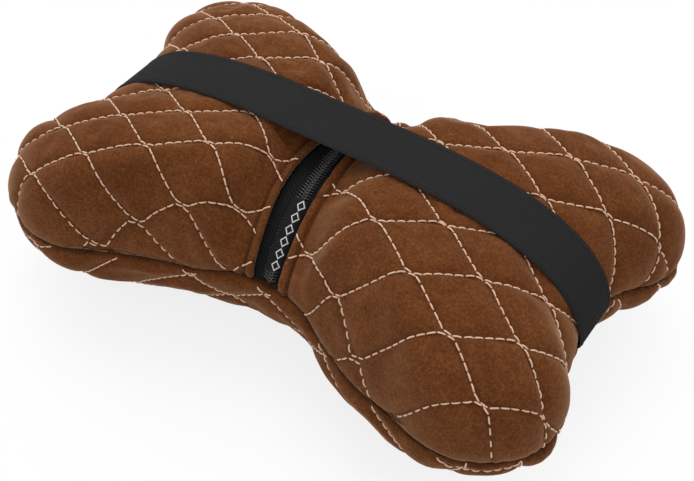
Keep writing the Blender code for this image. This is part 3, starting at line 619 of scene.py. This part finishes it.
# Geometry Nodes: bars of thread or coil, laid at points that know their heading and their lift
def barTree():
    tree = bpy.data.node_groups.new("bars", "GeometryNodeTree")
    face = tree.interface
    face.new_socket("Geometry", in_out="INPUT", socket_type="NodeSocketGeometry")
    inputs = {}
    for name, value in (("Length", 3 * mm), ("Radius", 0.4 * mm), ("Dip", 0.5 * mm)):
        socket = face.new_socket(name, in_out="INPUT", socket_type="NodeSocketFloat")
        socket.default_value = value
        inputs[name] = socket.identifier
    socket = face.new_socket("Sides", in_out="INPUT", socket_type="NodeSocketInt")
    socket.default_value = 6
    inputs["Sides"] = socket.identifier
    socket = face.new_socket("Material", in_out="INPUT", socket_type="NodeSocketMaterial")
    inputs["Material"] = socket.identifier
    face.new_socket("Geometry", in_out="OUTPUT", socket_type="NodeSocketGeometry")
    nodes, links = tree.nodes, tree.links

    def feed(socket, value):
        if isinstance(value, bpy.types.NodeSocket):
            links.new(value, socket)
        else:
            socket.default_value = value

    def add(kind, settings=(), **values):
        node = nodes.new(kind)
        for key, value in dict(settings).items():
            setattr(node, key, value)
        for key, value in values.items():
            feed(node.inputs[key.replace("_", " ")], value)
        return node

    given = nodes.new("NodeGroupInput").outputs

    def times(first, second):
        node = add("ShaderNodeMath", {"operation": "MULTIPLY"})
        feed(node.inputs[0], first)
        feed(node.inputs[1], second)
        return node.outputs[0]

    def spot(x, z):
        return add("ShaderNodeCombineXYZ", X=x, Z=z).outputs[0]

    half, low = times(given["Length"], 0.5), times(given["Dip"], -1.0)
    bar = add("GeometryNodeCurvePrimitiveBezierSegment", Resolution=6)
    shoulder = times(half, 0.55)  # the bar arches up from its two low ends
    for socket, value in (
        ("Start", spot(times(half, -1.0), low)),
        ("Start Handle", spot(times(shoulder, -1.0), times(low, -0.5))),
        ("End Handle", spot(shoulder, times(low, -0.5))),
        ("End", spot(half, low)),
    ):
        links.new(value, bar.inputs[socket])
    ring = add("GeometryNodeCurvePrimitiveCircle", Resolution=given["Sides"], Radius=given["Radius"])
    tube = add("GeometryNodeCurveToMesh", Curve=bar.outputs[0], Profile_Curve=ring.outputs[0],
               Fill_Caps=True)
    points = add("GeometryNodeMeshToPoints", Mesh=given["Geometry"])
    lift = add("GeometryNodeInputNamedAttribute", {"data_type": "FLOAT_VECTOR"}, Name="lift")
    heading = add("GeometryNodeInputNamedAttribute", {"data_type": "FLOAT_VECTOR"}, Name="heading")
    turned = add("FunctionNodeAlignRotationToVector", {"axis": "X"}, Vector=heading.outputs["Attribute"])
    upright = add("FunctionNodeAlignRotationToVector", {"axis": "Z", "pivot_axis": "X"},
                  Rotation=turned.outputs[0], Vector=lift.outputs["Attribute"])
    laid = add("GeometryNodeInstanceOnPoints", Points=points.outputs[0], Instance=tube.outputs[0],
               Rotation=upright.outputs[0])
    real = add("GeometryNodeRealizeInstances", Geometry=laid.outputs[0])
    shaded = add("GeometryNodeSetShadeSmooth", Geometry=real.outputs[0])
    dressed = add("GeometryNodeSetMaterial", Geometry=shaded.outputs[0], Material=given["Material"])
    links.new(dressed.outputs[0], nodes.new("NodeGroupOutput").inputs[0])
    return tree, inputs


bars, barInputs = barTree()


def layBars(name, places, headings, lifts, length, radius, dip, sides, material):
    piece = meshPiece(name, places, [])
    storeVectors(piece.data, "heading", headings)
    storeVectors(piece.data, "lift", lifts)
    modifier = piece.modifiers.new("Bars", "NODES")
    modifier.node_group = bars
    given = (("Length", length), ("Radius", radius), ("Dip", dip), ("Sides", sides), ("Material", material))
    for key, value in given:
        modifier[barInputs[key]] = value
    applyModifiers(piece)
    return piece


# sizes of the strap and the label, which their finishes follow too
strap = {
    "width": 28 * mm, "thickness": 1.25 * mm, "lift": 2.4 * mm, "cloth": 1.6 * mm, "seamGap": 0.15 * mm,
    "bend": 1.5, "step": 2.5 * mm, "ribPitch": 1.0 * mm, "pickPitch": 0.8 * mm, "ribDepth": 0.14 * mm,
    "underRibDepth": 0.042 * mm, "edgeRib": 1.9 * mm, "edgeRibDepth": 0.168 * mm, "edgeRound": 0.5 * mm,
    "edgeThin": 0.35, "slack": 0.21 * mm, "slackWave": 38 * mm, "slackFade": 30 * mm,
    "lean": 0.07 * mm, "leanWave": 60 * mm,
}
label = {
    "width": 10 * mm, "length": 34 * mm, "thickness": 0.3 * mm, "end": 9 * mm, "outer": 8.33 * mm,
    "over": 0.15 * mm, "under": -1.9 * mm, "fallBefore": 0.4 * mm, "fallWidth": 3.4 * mm,
    "wave": 0.25 * mm, "waveAlong": 11 * mm, "waveAcross": 9 * mm, "freeFrom": 4 * mm, "freeWidth": 5 * mm,
}


# materials
class Value:  # a socket that can be written in expressions
    def __init__(self, maker, socket):
        self.maker, self.socket = maker, socket

    def math(self, operation, first, second):
        return self.maker.add("ShaderNodeMath", {"operation": operation}, {0: first, 1: second})

    def __add__(self, other):
        return self.math("ADD", self, other)

    def __radd__(self, other):
        return self.math("ADD", other, self)

    def __sub__(self, other):
        return self.math("SUBTRACT", self, other)

    def __rsub__(self, other):
        return self.math("SUBTRACT", other, self)

    def __mul__(self, other):
        return self.math("MULTIPLY", self, other)

    def __rmul__(self, other):
        return self.math("MULTIPLY", other, self)


class Finish:  # one material and the nodes that it is made of
    def __init__(self, name, roughness=0.6, metallic=0.0, **constants):
        self.material = bpy.data.materials.new(name)
        self.material.use_nodes = True
        self.tree = self.material.node_tree
        self.shader = self.tree.nodes["Principled BSDF"]
        self.shader.inputs["Roughness"].default_value = roughness
        self.shader.inputs["Metallic"].default_value = metallic
        for key, value in constants.items():
            self.shader.inputs[key.replace("_", " ")].default_value = value

    def add(self, kind, settings=(), values=(), output=0):
        node = self.tree.nodes.new(kind)
        for key, value in dict(settings).items():
            setattr(node, key, value)
        for key, value in dict(values).items():
            if isinstance(value, Value):
                self.tree.links.new(value.socket, node.inputs[key])
            else:
                node.inputs[key].default_value = value
        return Value(self, node.outputs[output])

    def math(self, operation, value):
        return self.add("ShaderNodeMath", {"operation": operation}, {0: value})

    def coordinates(self, stretch=(1, 1, 1)):
        place = self.add("ShaderNodeTexCoord", output="Object")
        return self.add("ShaderNodeMapping", {}, {"Vector": place, "Scale": stretch})

    def noise(self, size, detail=3, rough=0.55, stretch=(1, 1, 1)):  # size of a patch in metres
        return self.add("ShaderNodeTexNoise", {}, {
            "Vector": self.coordinates(stretch), "Scale": 1 / size, "Detail": detail, "Roughness": rough})

    def wave(self, direction, pitch):  # 0 at the origin, 1 half a pitch away
        return self.add("ShaderNodeTexWave", {"bands_direction": direction}, {
            "Vector": self.coordinates(), "Scale": math.pi / 10 / pitch})

    def ramp(self, value, low, high):
        return self.add("ShaderNodeMapRange", {"interpolation_type": "SMOOTHSTEP"},
                        {"Value": value, "From Min": low, "From Max": high})

    def mix(self, share, first, second):
        return self.add("ShaderNodeMix", {"data_type": "RGBA"}, {0: share, 6: first, 7: second}, output=2)

    def colour(self, value):
        self.link(value, "Base Color")

    def link(self, value, socket):
        self.tree.links.new(value.socket, self.shader.inputs[socket])

    def bump(self, height, distance, strength=1.0):
        self.link(self.add("ShaderNodeBump", {}, {
            "Height": height, "Distance": distance, "Strength": strength}), "Normal")


# the crease colour and its share are painted shade for the stitch lines, the seam and the band's groove
suedeLook = {"paintedCreaseShade": (0.028, 0.008, 0.0025, 1), "shade": (0.07, 0.0195, 0.005, 1),
             "body": (0.118, 0.037, 0.0105, 1), "lit": (0.19, 0.069, 0.022, 1), "creaseShadeShare": 0.75,
             "sheen": 0.4, "sheenRoughness": 0.4, "sheenTint": (1.0, 0.62, 0.38, 1),
             "cloud": 34 * mm, "brushed": 7 * mm, "grain": 1.3 * mm, "fibre": 0.4 * mm, "relief": 0.35 * mm}
threadLook = {"dark": (0.62, 0.37, 0.24, 1), "pale": (0.82, 0.56, 0.4, 1), "ply": 0.3 * mm,
              "patch": 2.2 * mm}
elasticLook = {"dark": (0.001, 0.001, 0.001, 1), "pale": (0.042, 0.041, 0.043, 1), "grain": 0.5 * mm,
               "worn": 24 * mm}
tapeLook = {"dark": (0.006, 0.006, 0.007, 1), "pale": (0.02, 0.02, 0.022, 1), "grain": 0.5 * mm,
            "twill": 1.3 * mm}
nylonLook = {"dark": (0.02, 0.02, 0.022, 1), "pale": (0.055, 0.055, 0.06, 1), "patch": 3 * mm}
enamelLook = {"paint": (0.035, 0.035, 0.038, 1), "worn": (0.2, 0.2, 0.21, 1), "patch": 1.4 * mm}
satinLook = {"dark": (0.006, 0.006, 0.0065, 1), "pale": (0.018, 0.018, 0.02, 1), "thread": 0.35 * mm,
             "print": (0.62, 0.62, 0.61, 1), "diamonds": 6, "printMiddle": 0.42, "steepAlong": 0.9,
             "steepAcross": 2.1, "diamondSize": 0.36, "lineOuter": 0.075, "lineInner": 0.045}
bagLook = {"dark": (0.66, 0.65, 0.61, 1), "pale": (0.8, 0.79, 0.76, 1), "felt": 1.2 * mm}


def suedeMaterial():
    suede = Finish("brownSuede", roughness=0.95, Sheen_Weight=suedeLook["sheen"],
                   Sheen_Roughness=suedeLook["sheenRoughness"], Sheen_Tint=suedeLook["sheenTint"],
                   Specular_IOR_Level=0.05)
    clouds = suede.noise(suedeLook["cloud"], detail=4, rough=0.6)
    brushed = suede.noise(suedeLook["brushed"], detail=3, rough=0.6, stretch=(1, 1.7, 1))
    grain = suede.noise(suedeLook["grain"], detail=3, rough=0.7)
    fibres = suede.noise(suedeLook["fibre"], detail=2, rough=0.6)
    tone = clouds * 0.15 + brushed * 0.15 + grain * 0.4 + fibres * 0.3
    dark = suede.mix(suede.ramp(tone, 0.36, 0.52), suedeLook["shade"], suedeLook["body"])
    nap = suede.mix(suede.ramp(tone, 0.48, 0.64), dark, suedeLook["lit"])
    # painted shade: the suede darkens towards the crease colour where the cloth is creased
    paintedCreaseShade = suede.add("ShaderNodeAttribute", {"attribute_name": "paintedCreaseShade"}, output="Fac")
    suede.colour(suede.mix(paintedCreaseShade * suedeLook["creaseShadeShare"], nap, suedeLook["paintedCreaseShade"]))
    suede.bump(grain * 0.55 + fibres * 0.45, suedeLook["relief"], 0.55)
    return suede.material


def threadMaterial():
    thread = Finish("beigeThread", roughness=0.75, Sheen_Weight=0.2)
    patches = thread.noise(threadLook["patch"], detail=2)
    ply = thread.noise(threadLook["ply"], detail=1)
    thread.colour(thread.mix(patches, threadLook["dark"], threadLook["pale"]))
    thread.bump(ply, 0.15 * mm, 0.7)
    return thread.material


def elasticMaterial():
    elastic = Finish("blackElastic", roughness=0.9, Specular_IOR_Level=0.04)
    ribs = 1 - elastic.wave("Y", strap["ribPitch"])
    picks = elastic.wave("X", strap["pickPitch"])
    grain = elastic.noise(elasticLook["grain"], detail=2)
    worn = elastic.noise(elasticLook["worn"], detail=3)
    tone = worn * 0.1 + grain * 0.15 + ribs * 0.65 + picks * 0.1
    elastic.colour(elastic.mix(tone, elasticLook["dark"], elasticLook["pale"]))
    elastic.bump(picks * 0.4 + grain * 0.6, 0.15 * mm, 0.5)
    return elastic.material


def tapeMaterial():
    tape = Finish("blackTape", roughness=0.9, Specular_IOR_Level=0.03)
    twill = tape.wave("DIAGONAL", tapeLook["twill"])
    grain = tape.noise(tapeLook["grain"], detail=2)
    tape.colour(tape.mix(twill * 0.5 + grain * 0.5, tapeLook["dark"], tapeLook["pale"]))
    tape.bump(twill * 0.7 + grain * 0.3, 0.15 * mm, 0.6)
    return tape.material


def nylonMaterial():
    nylon = Finish("blackNylon", roughness=0.36, Specular_IOR_Level=0.4)
    patches = nylon.noise(nylonLook["patch"], detail=2)
    nylon.colour(nylon.mix(patches, nylonLook["dark"], nylonLook["pale"]))
    nylon.link(patches * 0.25 + 0.25, "Roughness")
    return nylon.material


def enamelMaterial():
    enamel = Finish("blackEnamel", roughness=0.3, metallic=0.75, Coat_Weight=0.25)
    wear = enamel.noise(enamelLook["patch"], detail=3)
    worn = enamel.ramp(wear, 0.6, 0.72)
    enamel.colour(enamel.mix(worn, enamelLook["paint"], enamelLook["worn"]))
    enamel.link(wear * 0.3 + 0.18, "Roughness")
    enamel.bump(wear, 0.05 * mm, 0.3)
    return enamel.material


def satinMaterial():
    satin = Finish("blackSatin", roughness=0.55, Specular_IOR_Level=0.06)
    across = satin.add("ShaderNodeAttribute", {"attribute_name": "across"}, output="Fac")
    along = satin.add("ShaderNodeAttribute", {"attribute_name": "along"}, output="Fac")
    threads = satin.noise(satinLook["thread"], detail=2)
    ground = satin.mix(threads, satinLook["dark"], satinLook["pale"])
    alongCell = satin.math("ABSOLUTE", satin.math("FRACT", along * satinLook["diamonds"]) - 0.5)
    fromMiddle = satin.math("ABSOLUTE", across - satinLook["printMiddle"])
    inDiamond = alongCell * satinLook["steepAlong"] + fromMiddle * satinLook["steepAcross"]
    line = satin.math("ABSOLUTE", inDiamond - satinLook["diamondSize"])  # 0 on a diamond's outline
    printed = satin.ramp(line, satinLook["lineOuter"], satinLook["lineInner"])
    satin.colour(satin.mix(printed, ground, satinLook["print"]))
    satin.bump(threads, 0.1 * mm, 0.4)
    return satin.material


def bagMaterial():
    bag = Finish("whiteBag", roughness=0.9)
    felt = bag.noise(bagLook["felt"], detail=3, rough=0.7)
    bag.colour(bag.mix(felt, bagLook["dark"], bagLook["pale"]))
    bag.bump(felt, 0.2 * mm, 0.4)
    return bag.material


suede, thread, elastic = suedeMaterial(), threadMaterial(), elasticMaterial()
tapeCloth, nylon, enamel, satin, bagCloth = (
    tapeMaterial(), nylonMaterial(), enamelMaterial(), satinMaterial(), bagMaterial())


def dress(piece, material, node, body):
    if material and material.name not in piece.data.materials:
        piece.data.materials.append(material)
    smoothShade(piece)
    if node:
        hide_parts(node)
    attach(piece, body)


# the cover and its stitches
cover = {name: clothPiece(name, side, lattice) for name, node, side, lattice, seed in panels}
print("cloth laid out:", {name: len(piece.data.vertices) for name, piece in cover.items()})
puffOut(list(cover.values()))
for name, node, side, lattice, seed in panels:
    piece = cover[name]
    finer = piece.modifiers.new("Finer", "SUBSURF")
    finer.levels = finer.render_levels = 1
    applyModifiers(piece)
    sewnDetail(piece, side, lattice, seed)
    places, headings, lifts = stitchPlaces(ClothMap(piece), side, lattice, seed)
    rows = layBars(name.replace("cover", "stitches"), places, headings, lifts, stitches["length"],
                   stitches["radius"], stitches["dip"], stitches["sides"], thread)
    dress(rows, None, None, "cover")
    finishEdges(piece, side)
    wall = piece.modifiers.new("Thickness", "SOLIDIFY")
    wall.thickness, wall.offset = quilt["thickness"], -1
    applyModifiers(piece)
    dress(piece, suede, node, "cover")
    print(name, "sewn with", len(places), "stitches")


# elastic strap
def strapLine():  # its lower face in the plane y = 0, from the middle to the seam
    turns = np.linspace(0, 1, 60) ** (pillow["crownFullness"][0] / 2)
    points = bodyPoint(np.zeros(60), turns, strapSide)[:, (0, 2)]
    crown = int(np.argmax(points[:, 1]))
    slopes = np.gradient(points[crown:], axis=0)
    normals = np.stack([-slopes[:, 1], slopes[:, 0]], axis=1)
    normals /= np.linalg.norm(normals, axis=1)[:, None]
    acrossLobe = pillow["width"] / 2 - pillow["lobeRadius"]
    alongLobe = pillow["length"] / 2 - pillow["lobeRadius"]
    notchRadius = hollowRadius(acrossLobe, alongLobe, pillow["notchLength"] / 2)
    bulge = (strap["width"] / 2) ** 2 / (2 * notchRadius)
    lifted = points[crown:] + normals * (strap["lift"] + bulge * turns[crown:] ** 2)[:, None]
    under = pillow["seamHeight"] + strap["seamGap"] + strap["thickness"]
    bend = strap["bend"] * strap["thickness"]
    lifted = lifted[lifted[:, 1] > under + bend]
    wall = float(lifted[-1][0])  # down this wall, round the bend and in to the seam
    ends = [(wall, under + bend), (wall - bend / 6, under + bend / 4), (wall - bend * 2 / 3, under),
            (pillow["notchLength"] / 2 - strap["cloth"], under)]
    return np.concatenate([[(0.0, lifted[0][1])], lifted, ends])


def makeStrap():
    right = strapLine()
    path = np.concatenate([right[::-1] * (-1, 1), right[1:]])
    steps = np.linalg.norm(np.diff(path, axis=0), axis=1)
    length = np.concatenate([[0], np.cumsum(steps)])
    count = int(length[-1] / strap["step"])
    marks = np.unique(np.concatenate([np.linspace(0, length[-1], count), length[:6], length[-6:]]))
    line = np.stack([np.interp(marks, length, path[:, k]) for k in (0, 1)], 1)
    heading = np.gradient(line, axis=0)
    heading /= np.linalg.norm(heading, axis=1)[:, None]
    up = np.stack([-heading[:, 1], heading[:, 0]], 1)
    half = strap["width"] / 2
    ys = np.linspace(-half, half, int(round(strap["width"] / strap["ribPitch"] * 4)) + 1)
    ribWave = 0.5 + 0.5 * np.cos(2 * math.pi * ys / strap["ribPitch"])
    fromEdge = half - np.abs(ys)
    edgeRib = np.exp(-(((fromEdge - strap["edgeRib"]) / strap["edgeRound"]) ** 2))
    rib = strap["ribDepth"] * ribWave + strap["edgeRibDepth"] * edgeRib
    roundEdge = np.sqrt(np.clip(1 - (1 - np.minimum(fromEdge / strap["edgeRound"], 1)) ** 2, 0, 1))
    thick = strap["thickness"] * (strap["edgeThin"] + (1 - strap["edgeThin"]) * roundEdge)
    middle = strap["thickness"] / 2
    upper = middle + thick / 2 - strap["ribDepth"] + rib * roundEdge
    lower = middle - thick / 2 + strap["underRibDepth"] * (1 - ribWave)
    profile = np.concatenate([np.stack([ys, upper], 1), np.stack([ys, lower], 1)[::-1]])
    fromEnd = np.minimum(marks, length[-1] - marks)
    slack = strap["slack"] * softNoise(marks / strap["slackWave"], 12) * smooth(fromEnd / strap["slackFade"])
    lean = strap["lean"] * softNoise(marks / strap["leanWave"], 13)
    points = []
    for (x, z), (ux, uz), raised, tip in zip(line, up, slack, lean):
        height = profile[:, 1] + max(raised, 0) + tip * profile[:, 0] / half
        points.append(np.stack([x + ux * height, profile[:, 0], z + uz * height], 1))
    points = np.concatenate(points)
    ring, rows = len(profile), len(line)
    faces = [(r * ring + k, r * ring + (k + 1) % ring, (r + 1) * ring + (k + 1) % ring, (r + 1) * ring + k)
             for r in range(rows - 1) for k in range(ring)]
    caps = [list(range(ring)), list(range((rows - 1) * ring, rows * ring))]
    piece = meshPiece("elasticStrap", points, faces + caps)
    bm = bmesh.new()
    bm.from_mesh(piece.data)
    bmesh.ops.recalc_face_normals(bm, faces=bm.faces)
    bm.to_mesh(piece.data)
    bm.free()
    return piece, float(length[-1])


strapPiece, strapLength = makeStrap()
dress(strapPiece, elastic, "elastic_strap", "cover")
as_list(list(cover.values())[:2])
print("strap length, mm", round(strapLength / mm, 1))

# zip: tapes, coil, label, slider and pull tab
zipper = {
    "tapeTop": -2.5 * mm, "tape": 0.6 * mm, "tapeSplit": 2.4 * mm, "tapeOuter": 11 * mm, "endRoom": 1.5 * mm,
    "chain": 6.6 * mm, "pitch": 1.45 * mm, "slant": 0.3, "overlap": 0.7 * mm, "wire": 0.4 * mm,
    "wireSides": 8, "dip": 0.7 * mm, "coilHeight": 1.1 * mm, "coilEnds": (3 * mm, 3.75 * mm),
    "parting": 1.8 * mm, "partingLength": 8 * mm, "stopRoom": 9 * mm, "sliderBevel": 0.16 * mm,
    "tabBevel": 0.2 * mm,
}
coilThread = {"place": 2.45 * mm, "ends": (4 * mm, 5 * mm), "rise": 0.28 * mm, "length": 1.5 * mm,
              "radius": 0.2 * mm, "dip": 0.15 * mm, "sides": 5}
sliderRest = zipHalf - zipper["stopRoom"]


def zipPoint(x, along, height):
    angle, radius = along / zipRadius, zipRadius + height
    return Vector((x, radius * math.sin(angle), zipCentre + radius * math.cos(angle)))


def zipLift(place):  # away from the arc's centre
    return (place - Vector((place.x, 0, zipCentre))).normalized()


def zipSheet(name, xs, alongs, heightOf, thickness):
    points = [zipPoint(x, along, heightOf(x, along)) for along in alongs for x in xs]
    wide = len(xs)
    faces = [(r * wide + k, r * wide + k + 1, (r + 1) * wide + k + 1, (r + 1) * wide + k)
             for r in range(len(alongs) - 1) for k in range(wide - 1)]
    piece = meshPiece(name, points, faces)
    wall = piece.modifiers.new("Thickness", "SOLIDIFY")
    wall.thickness, wall.offset = thickness, -1
    return piece


def makeTapes():
    alongs = np.linspace(-zipHalf + zipper["endRoom"], zipHalf - zipper["endRoom"], 120)
    inner, outer = zipper["tapeSplit"] / 2, zipper["tapeOuter"]
    for name, node, xs in (("zipTapeRight", "zip_tape_right", np.linspace(inner, outer, 15)),
                           ("zipTapeLeft", "zip_tape_left", np.linspace(-outer, -inner, 15))):
        piece = zipSheet(name, xs, alongs, lambda x, along: zipper["tapeTop"], zipper["tape"])
        applyModifiers(piece)
        dress(piece, tapeCloth, node, "cover")


def partingAt(along):  # the rows part ahead of the slider
    share = (along - sliderRest) / zipper["partingLength"] + 0.5
    return zipper["parting"] * float(smooth(share))


def makeCoils():
    outer = zipper["chain"] / 2
    length = outer + zipper["overlap"]
    base = zipper["tapeTop"] + zipper["coilHeight"]
    startRoom, endRoom = zipper["coilEnds"]
    for name, node, way, shift in (
        ("zipCoilRight", "zip_coil_right", 1, 0.0),
        ("zipCoilLeft", "zip_coil_left", -1, 0.5),
    ):
        places, headings, lifts = [], [], []
        along = -zipHalf + startRoom + shift * zipper["pitch"]
        while along < zipHalf - endRoom:
            apart = partingAt(along)
            centre = (outer - zipper["overlap"]) / 2
            place = zipPoint(way * (centre + apart), along + zipper["slant"] * centre, base)
            start = zipPoint(way * (outer + apart), along + zipper["slant"] * outer, base)
            places.append(place)
            headings.append((start - place).normalized())
            lifts.append(zipLift(place))
            along += zipper["pitch"]
        piece = layBars(name, places, headings, lifts, length, zipper["wire"], zipper["dip"],
                        zipper["wireSides"], nylon)
        dress(piece, None, node, "cover")


def makeTapeStitches():  # the thread that holds each row of coil to its tape
    places, headings, lifts = [], [], []
    height = zipper["tapeTop"] + zipper["coilHeight"] + coilThread["rise"]
    startRoom, endRoom = coilThread["ends"]
    for way in (-1, 1):
        for along in np.arange(-zipHalf + startRoom, zipHalf - endRoom, zipper["pitch"]):
            x = way * (coilThread["place"] + partingAt(along))
            place = zipPoint(x, along + zipper["slant"] * abs(x), height)
            ahead = zipPoint(x, along + zipper["slant"] * abs(x) + mm, height)
            places.append(place)
            headings.append((ahead - place).normalized())
            lifts.append(zipLift(place))
    piece = layBars("zipThread", places, headings, lifts, coilThread["length"], coilThread["radius"],
                    coilThread["dip"], coilThread["sides"], tapeCloth)
    dress(piece, None, None, "cover")


def makeLabel():
    xs = np.linspace(label["outer"] - label["width"], label["outer"], 26)
    start = -zipHalf + label["end"]
    alongs = np.linspace(start, start + label["length"], 70)

    def heightOf(x, along):
        fall = float(smooth((x - zipper["chain"] / 2 + label["fallBefore"]) / label["fallWidth"]))
        place = along / label["waveAlong"] + x / label["waveAcross"]
        wave = abs(label["wave"] * float(softNoise(np.array([place]), 21)[0]))
        free = float(smooth((label["freeFrom"] - x) / label["freeWidth"]))
        top = label["over"] + label["thickness"]
        return top + (label["under"] - label["over"]) * fall + wave * free

    piece = zipSheet("sideLabel", xs, alongs, heightOf, label["thickness"])
    storeValues(piece.data, "across", np.tile(np.linspace(0, 1, len(xs)), len(alongs)))
    storeValues(piece.data, "along", np.repeat(np.linspace(0, 1, len(alongs)), len(xs)))
    applyModifiers(piece)
    dress(piece, satin, "side_label", "cover")


def nodeCopy(name, node):  # a bare copy of a node, and its loose triangles merged for editing
    piece = bpy.data.objects.new(name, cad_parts[node].data.copy())
    bpy.context.scene.collection.objects.link(piece)
    piece.data.materials.clear()
    bm = bmesh.new()
    bm.from_mesh(piece.data)
    bmesh.ops.remove_doubles(bm, verts=bm.verts, dist=0.01 * mm)
    return piece, bm


def bevelledCopy(name, node, body, width):
    piece, bm = nodeCopy(name, node)
    bmesh.ops.dissolve_limit(bm, angle_limit=math.radians(1), verts=bm.verts, edges=bm.edges)
    bm.to_mesh(piece.data)
    bm.free()
    bevel = piece.modifiers.new("Edges", "BEVEL")
    bevel.width, bevel.segments, bevel.limit_method = width, 3, "ANGLE"
    bevel.angle_limit = math.radians(25)
    bevel.harden_normals = True
    applyModifiers(piece)
    dress(piece, enamel, node, body)


makeTapes()
makeCoils()
makeTapeStitches()
makeLabel()
bevelledCopy("zipSlider", "zip_slider", "slider", zipper["sliderBevel"])
bevelledCopy("zipPullTab", "zip_pull_tab", "pull_tab", zipper["tabBevel"])
print("zip made")

# the stuffed bag inside the cover
stuffedBag = {"room": 0.8 * mm, "levels": 2}


def makeBag():
    piece, bm = nodeCopy("stuffedBag", "inner_cushion")
    for vert in bm.verts:
        vert.co -= vert.normal * stuffedBag["room"]
    bm.to_mesh(piece.data)
    bm.free()
    finer = piece.modifiers.new("Finer", "SUBSURF")
    finer.levels = finer.render_levels = stuffedBag["levels"]
    applyModifiers(piece)
    dress(piece, bagCloth, "inner_cushion", "cover")


makeBag()
print("bag made")

# studio
studio = {
    "floor": 0.86, "floorHalf": 3, "fadeStart": 0.1, "fadeEnd": 0.21, "shadow": 0.18, "fill": 0.75,
    "lamps": (  # name, place, size, power
        ("keyLamp", (-0.5, 0.55, 1.35), 1.0, 13),
        ("fillLamp", (0.9, -0.9, 0.9), 1.2, 1.2),
    ),
}


def makeFloor():
    half = studio["floorHalf"]
    floor = meshPiece("floor", [(-half, -half, 0), (half, -half, 0), (half, half, 0), (-half, half, 0)],
                      [(0, 1, 2, 3)])
    paint = bpy.data.materials.new("floorPaint")
    paint.use_nodes = True
    tree = paint.node_tree
    nodes, links = tree.nodes, tree.links
    nodes.clear()
    matt = nodes.new("ShaderNodeBsdfDiffuse")
    matt.inputs["Color"].default_value = (studio["floor"],) * 3 + (1,)
    white = nodes.new("ShaderNodeEmission")
    place = nodes.new("ShaderNodeTexCoord")
    away = nodes.new("ShaderNodeVectorMath")
    away.operation = "LENGTH"
    links.new(place.outputs["Object"], away.inputs[0])
    fade = nodes.new("ShaderNodeMapRange")
    fade.interpolation_type = "SMOOTHSTEP"
    fade.inputs["From Min"].default_value = studio["fadeStart"]
    fade.inputs["From Max"].default_value = studio["fadeEnd"]
    fade.inputs["To Min"].default_value = 1 - studio["shadow"]
    links.new(away.outputs["Value"], fade.inputs["Value"])
    rays = nodes.new("ShaderNodeLightPath")
    seen = nodes.new("ShaderNodeMath")
    seen.operation = "MULTIPLY"
    links.new(rays.outputs["Is Camera Ray"], seen.inputs[0])
    links.new(fade.outputs["Result"], seen.inputs[1])
    mixed = nodes.new("ShaderNodeMixShader")
    links.new(seen.outputs[0], mixed.inputs[0])
    links.new(matt.outputs[0], mixed.inputs[1])
    links.new(white.outputs[0], mixed.inputs[2])
    links.new(mixed.outputs[0], nodes.new("ShaderNodeOutputMaterial").inputs[0])
    floor.data.materials.append(paint)
    floor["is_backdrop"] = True


def makeWorld():
    world = bpy.data.worlds.new("world")
    bpy.context.scene.world = world
    world.use_nodes = True
    nodes, links = world.node_tree.nodes, world.node_tree.links
    soft = nodes["Background"]
    soft.inputs[0].default_value = (1, 1, 1, 1)
    soft.inputs[1].default_value = studio["fill"]
    white = nodes.new("ShaderNodeBackground")
    white.inputs[0].default_value = (1, 1, 1, 1)
    rays = nodes.new("ShaderNodeLightPath")
    either = rays.outputs["Is Camera Ray"]
    for other in ("Is Glossy Ray", "Is Transmission Ray"):
        node = nodes.new("ShaderNodeMath")
        node.operation = "MAXIMUM"
        links.new(either, node.inputs[0])
        links.new(rays.outputs[other], node.inputs[1])
        either = node.outputs[0]
    mixed = nodes.new("ShaderNodeMixShader")
    links.new(either, mixed.inputs[0])
    links.new(soft.outputs[0], mixed.inputs[1])
    links.new(white.outputs[0], mixed.inputs[2])
    links.new(mixed.outputs[0], nodes["World Output"].inputs[0])


def makeLamp(name, place, size, power, aim=(0, 0, 0.05)):
    light = bpy.data.lights.new(name, "AREA")
    light.shape, light.size, light.energy = "DISK", size, power
    lamp = bpy.data.objects.new(name, light)
    lamp.location = place
    lamp.rotation_euler = (Vector(place) - Vector(aim)).to_track_quat("Z", "Y").to_euler()
    bpy.context.scene.collection.objects.link(lamp)


makeFloor()
makeWorld()
for lamp in studio["lamps"]:
    makeLamp(*lamp)
print("studio made")
bpy.context.scene.view_settings.view_transform = "Standard"

[[list(corner) for corner in box] for box in (cadBox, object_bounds())]
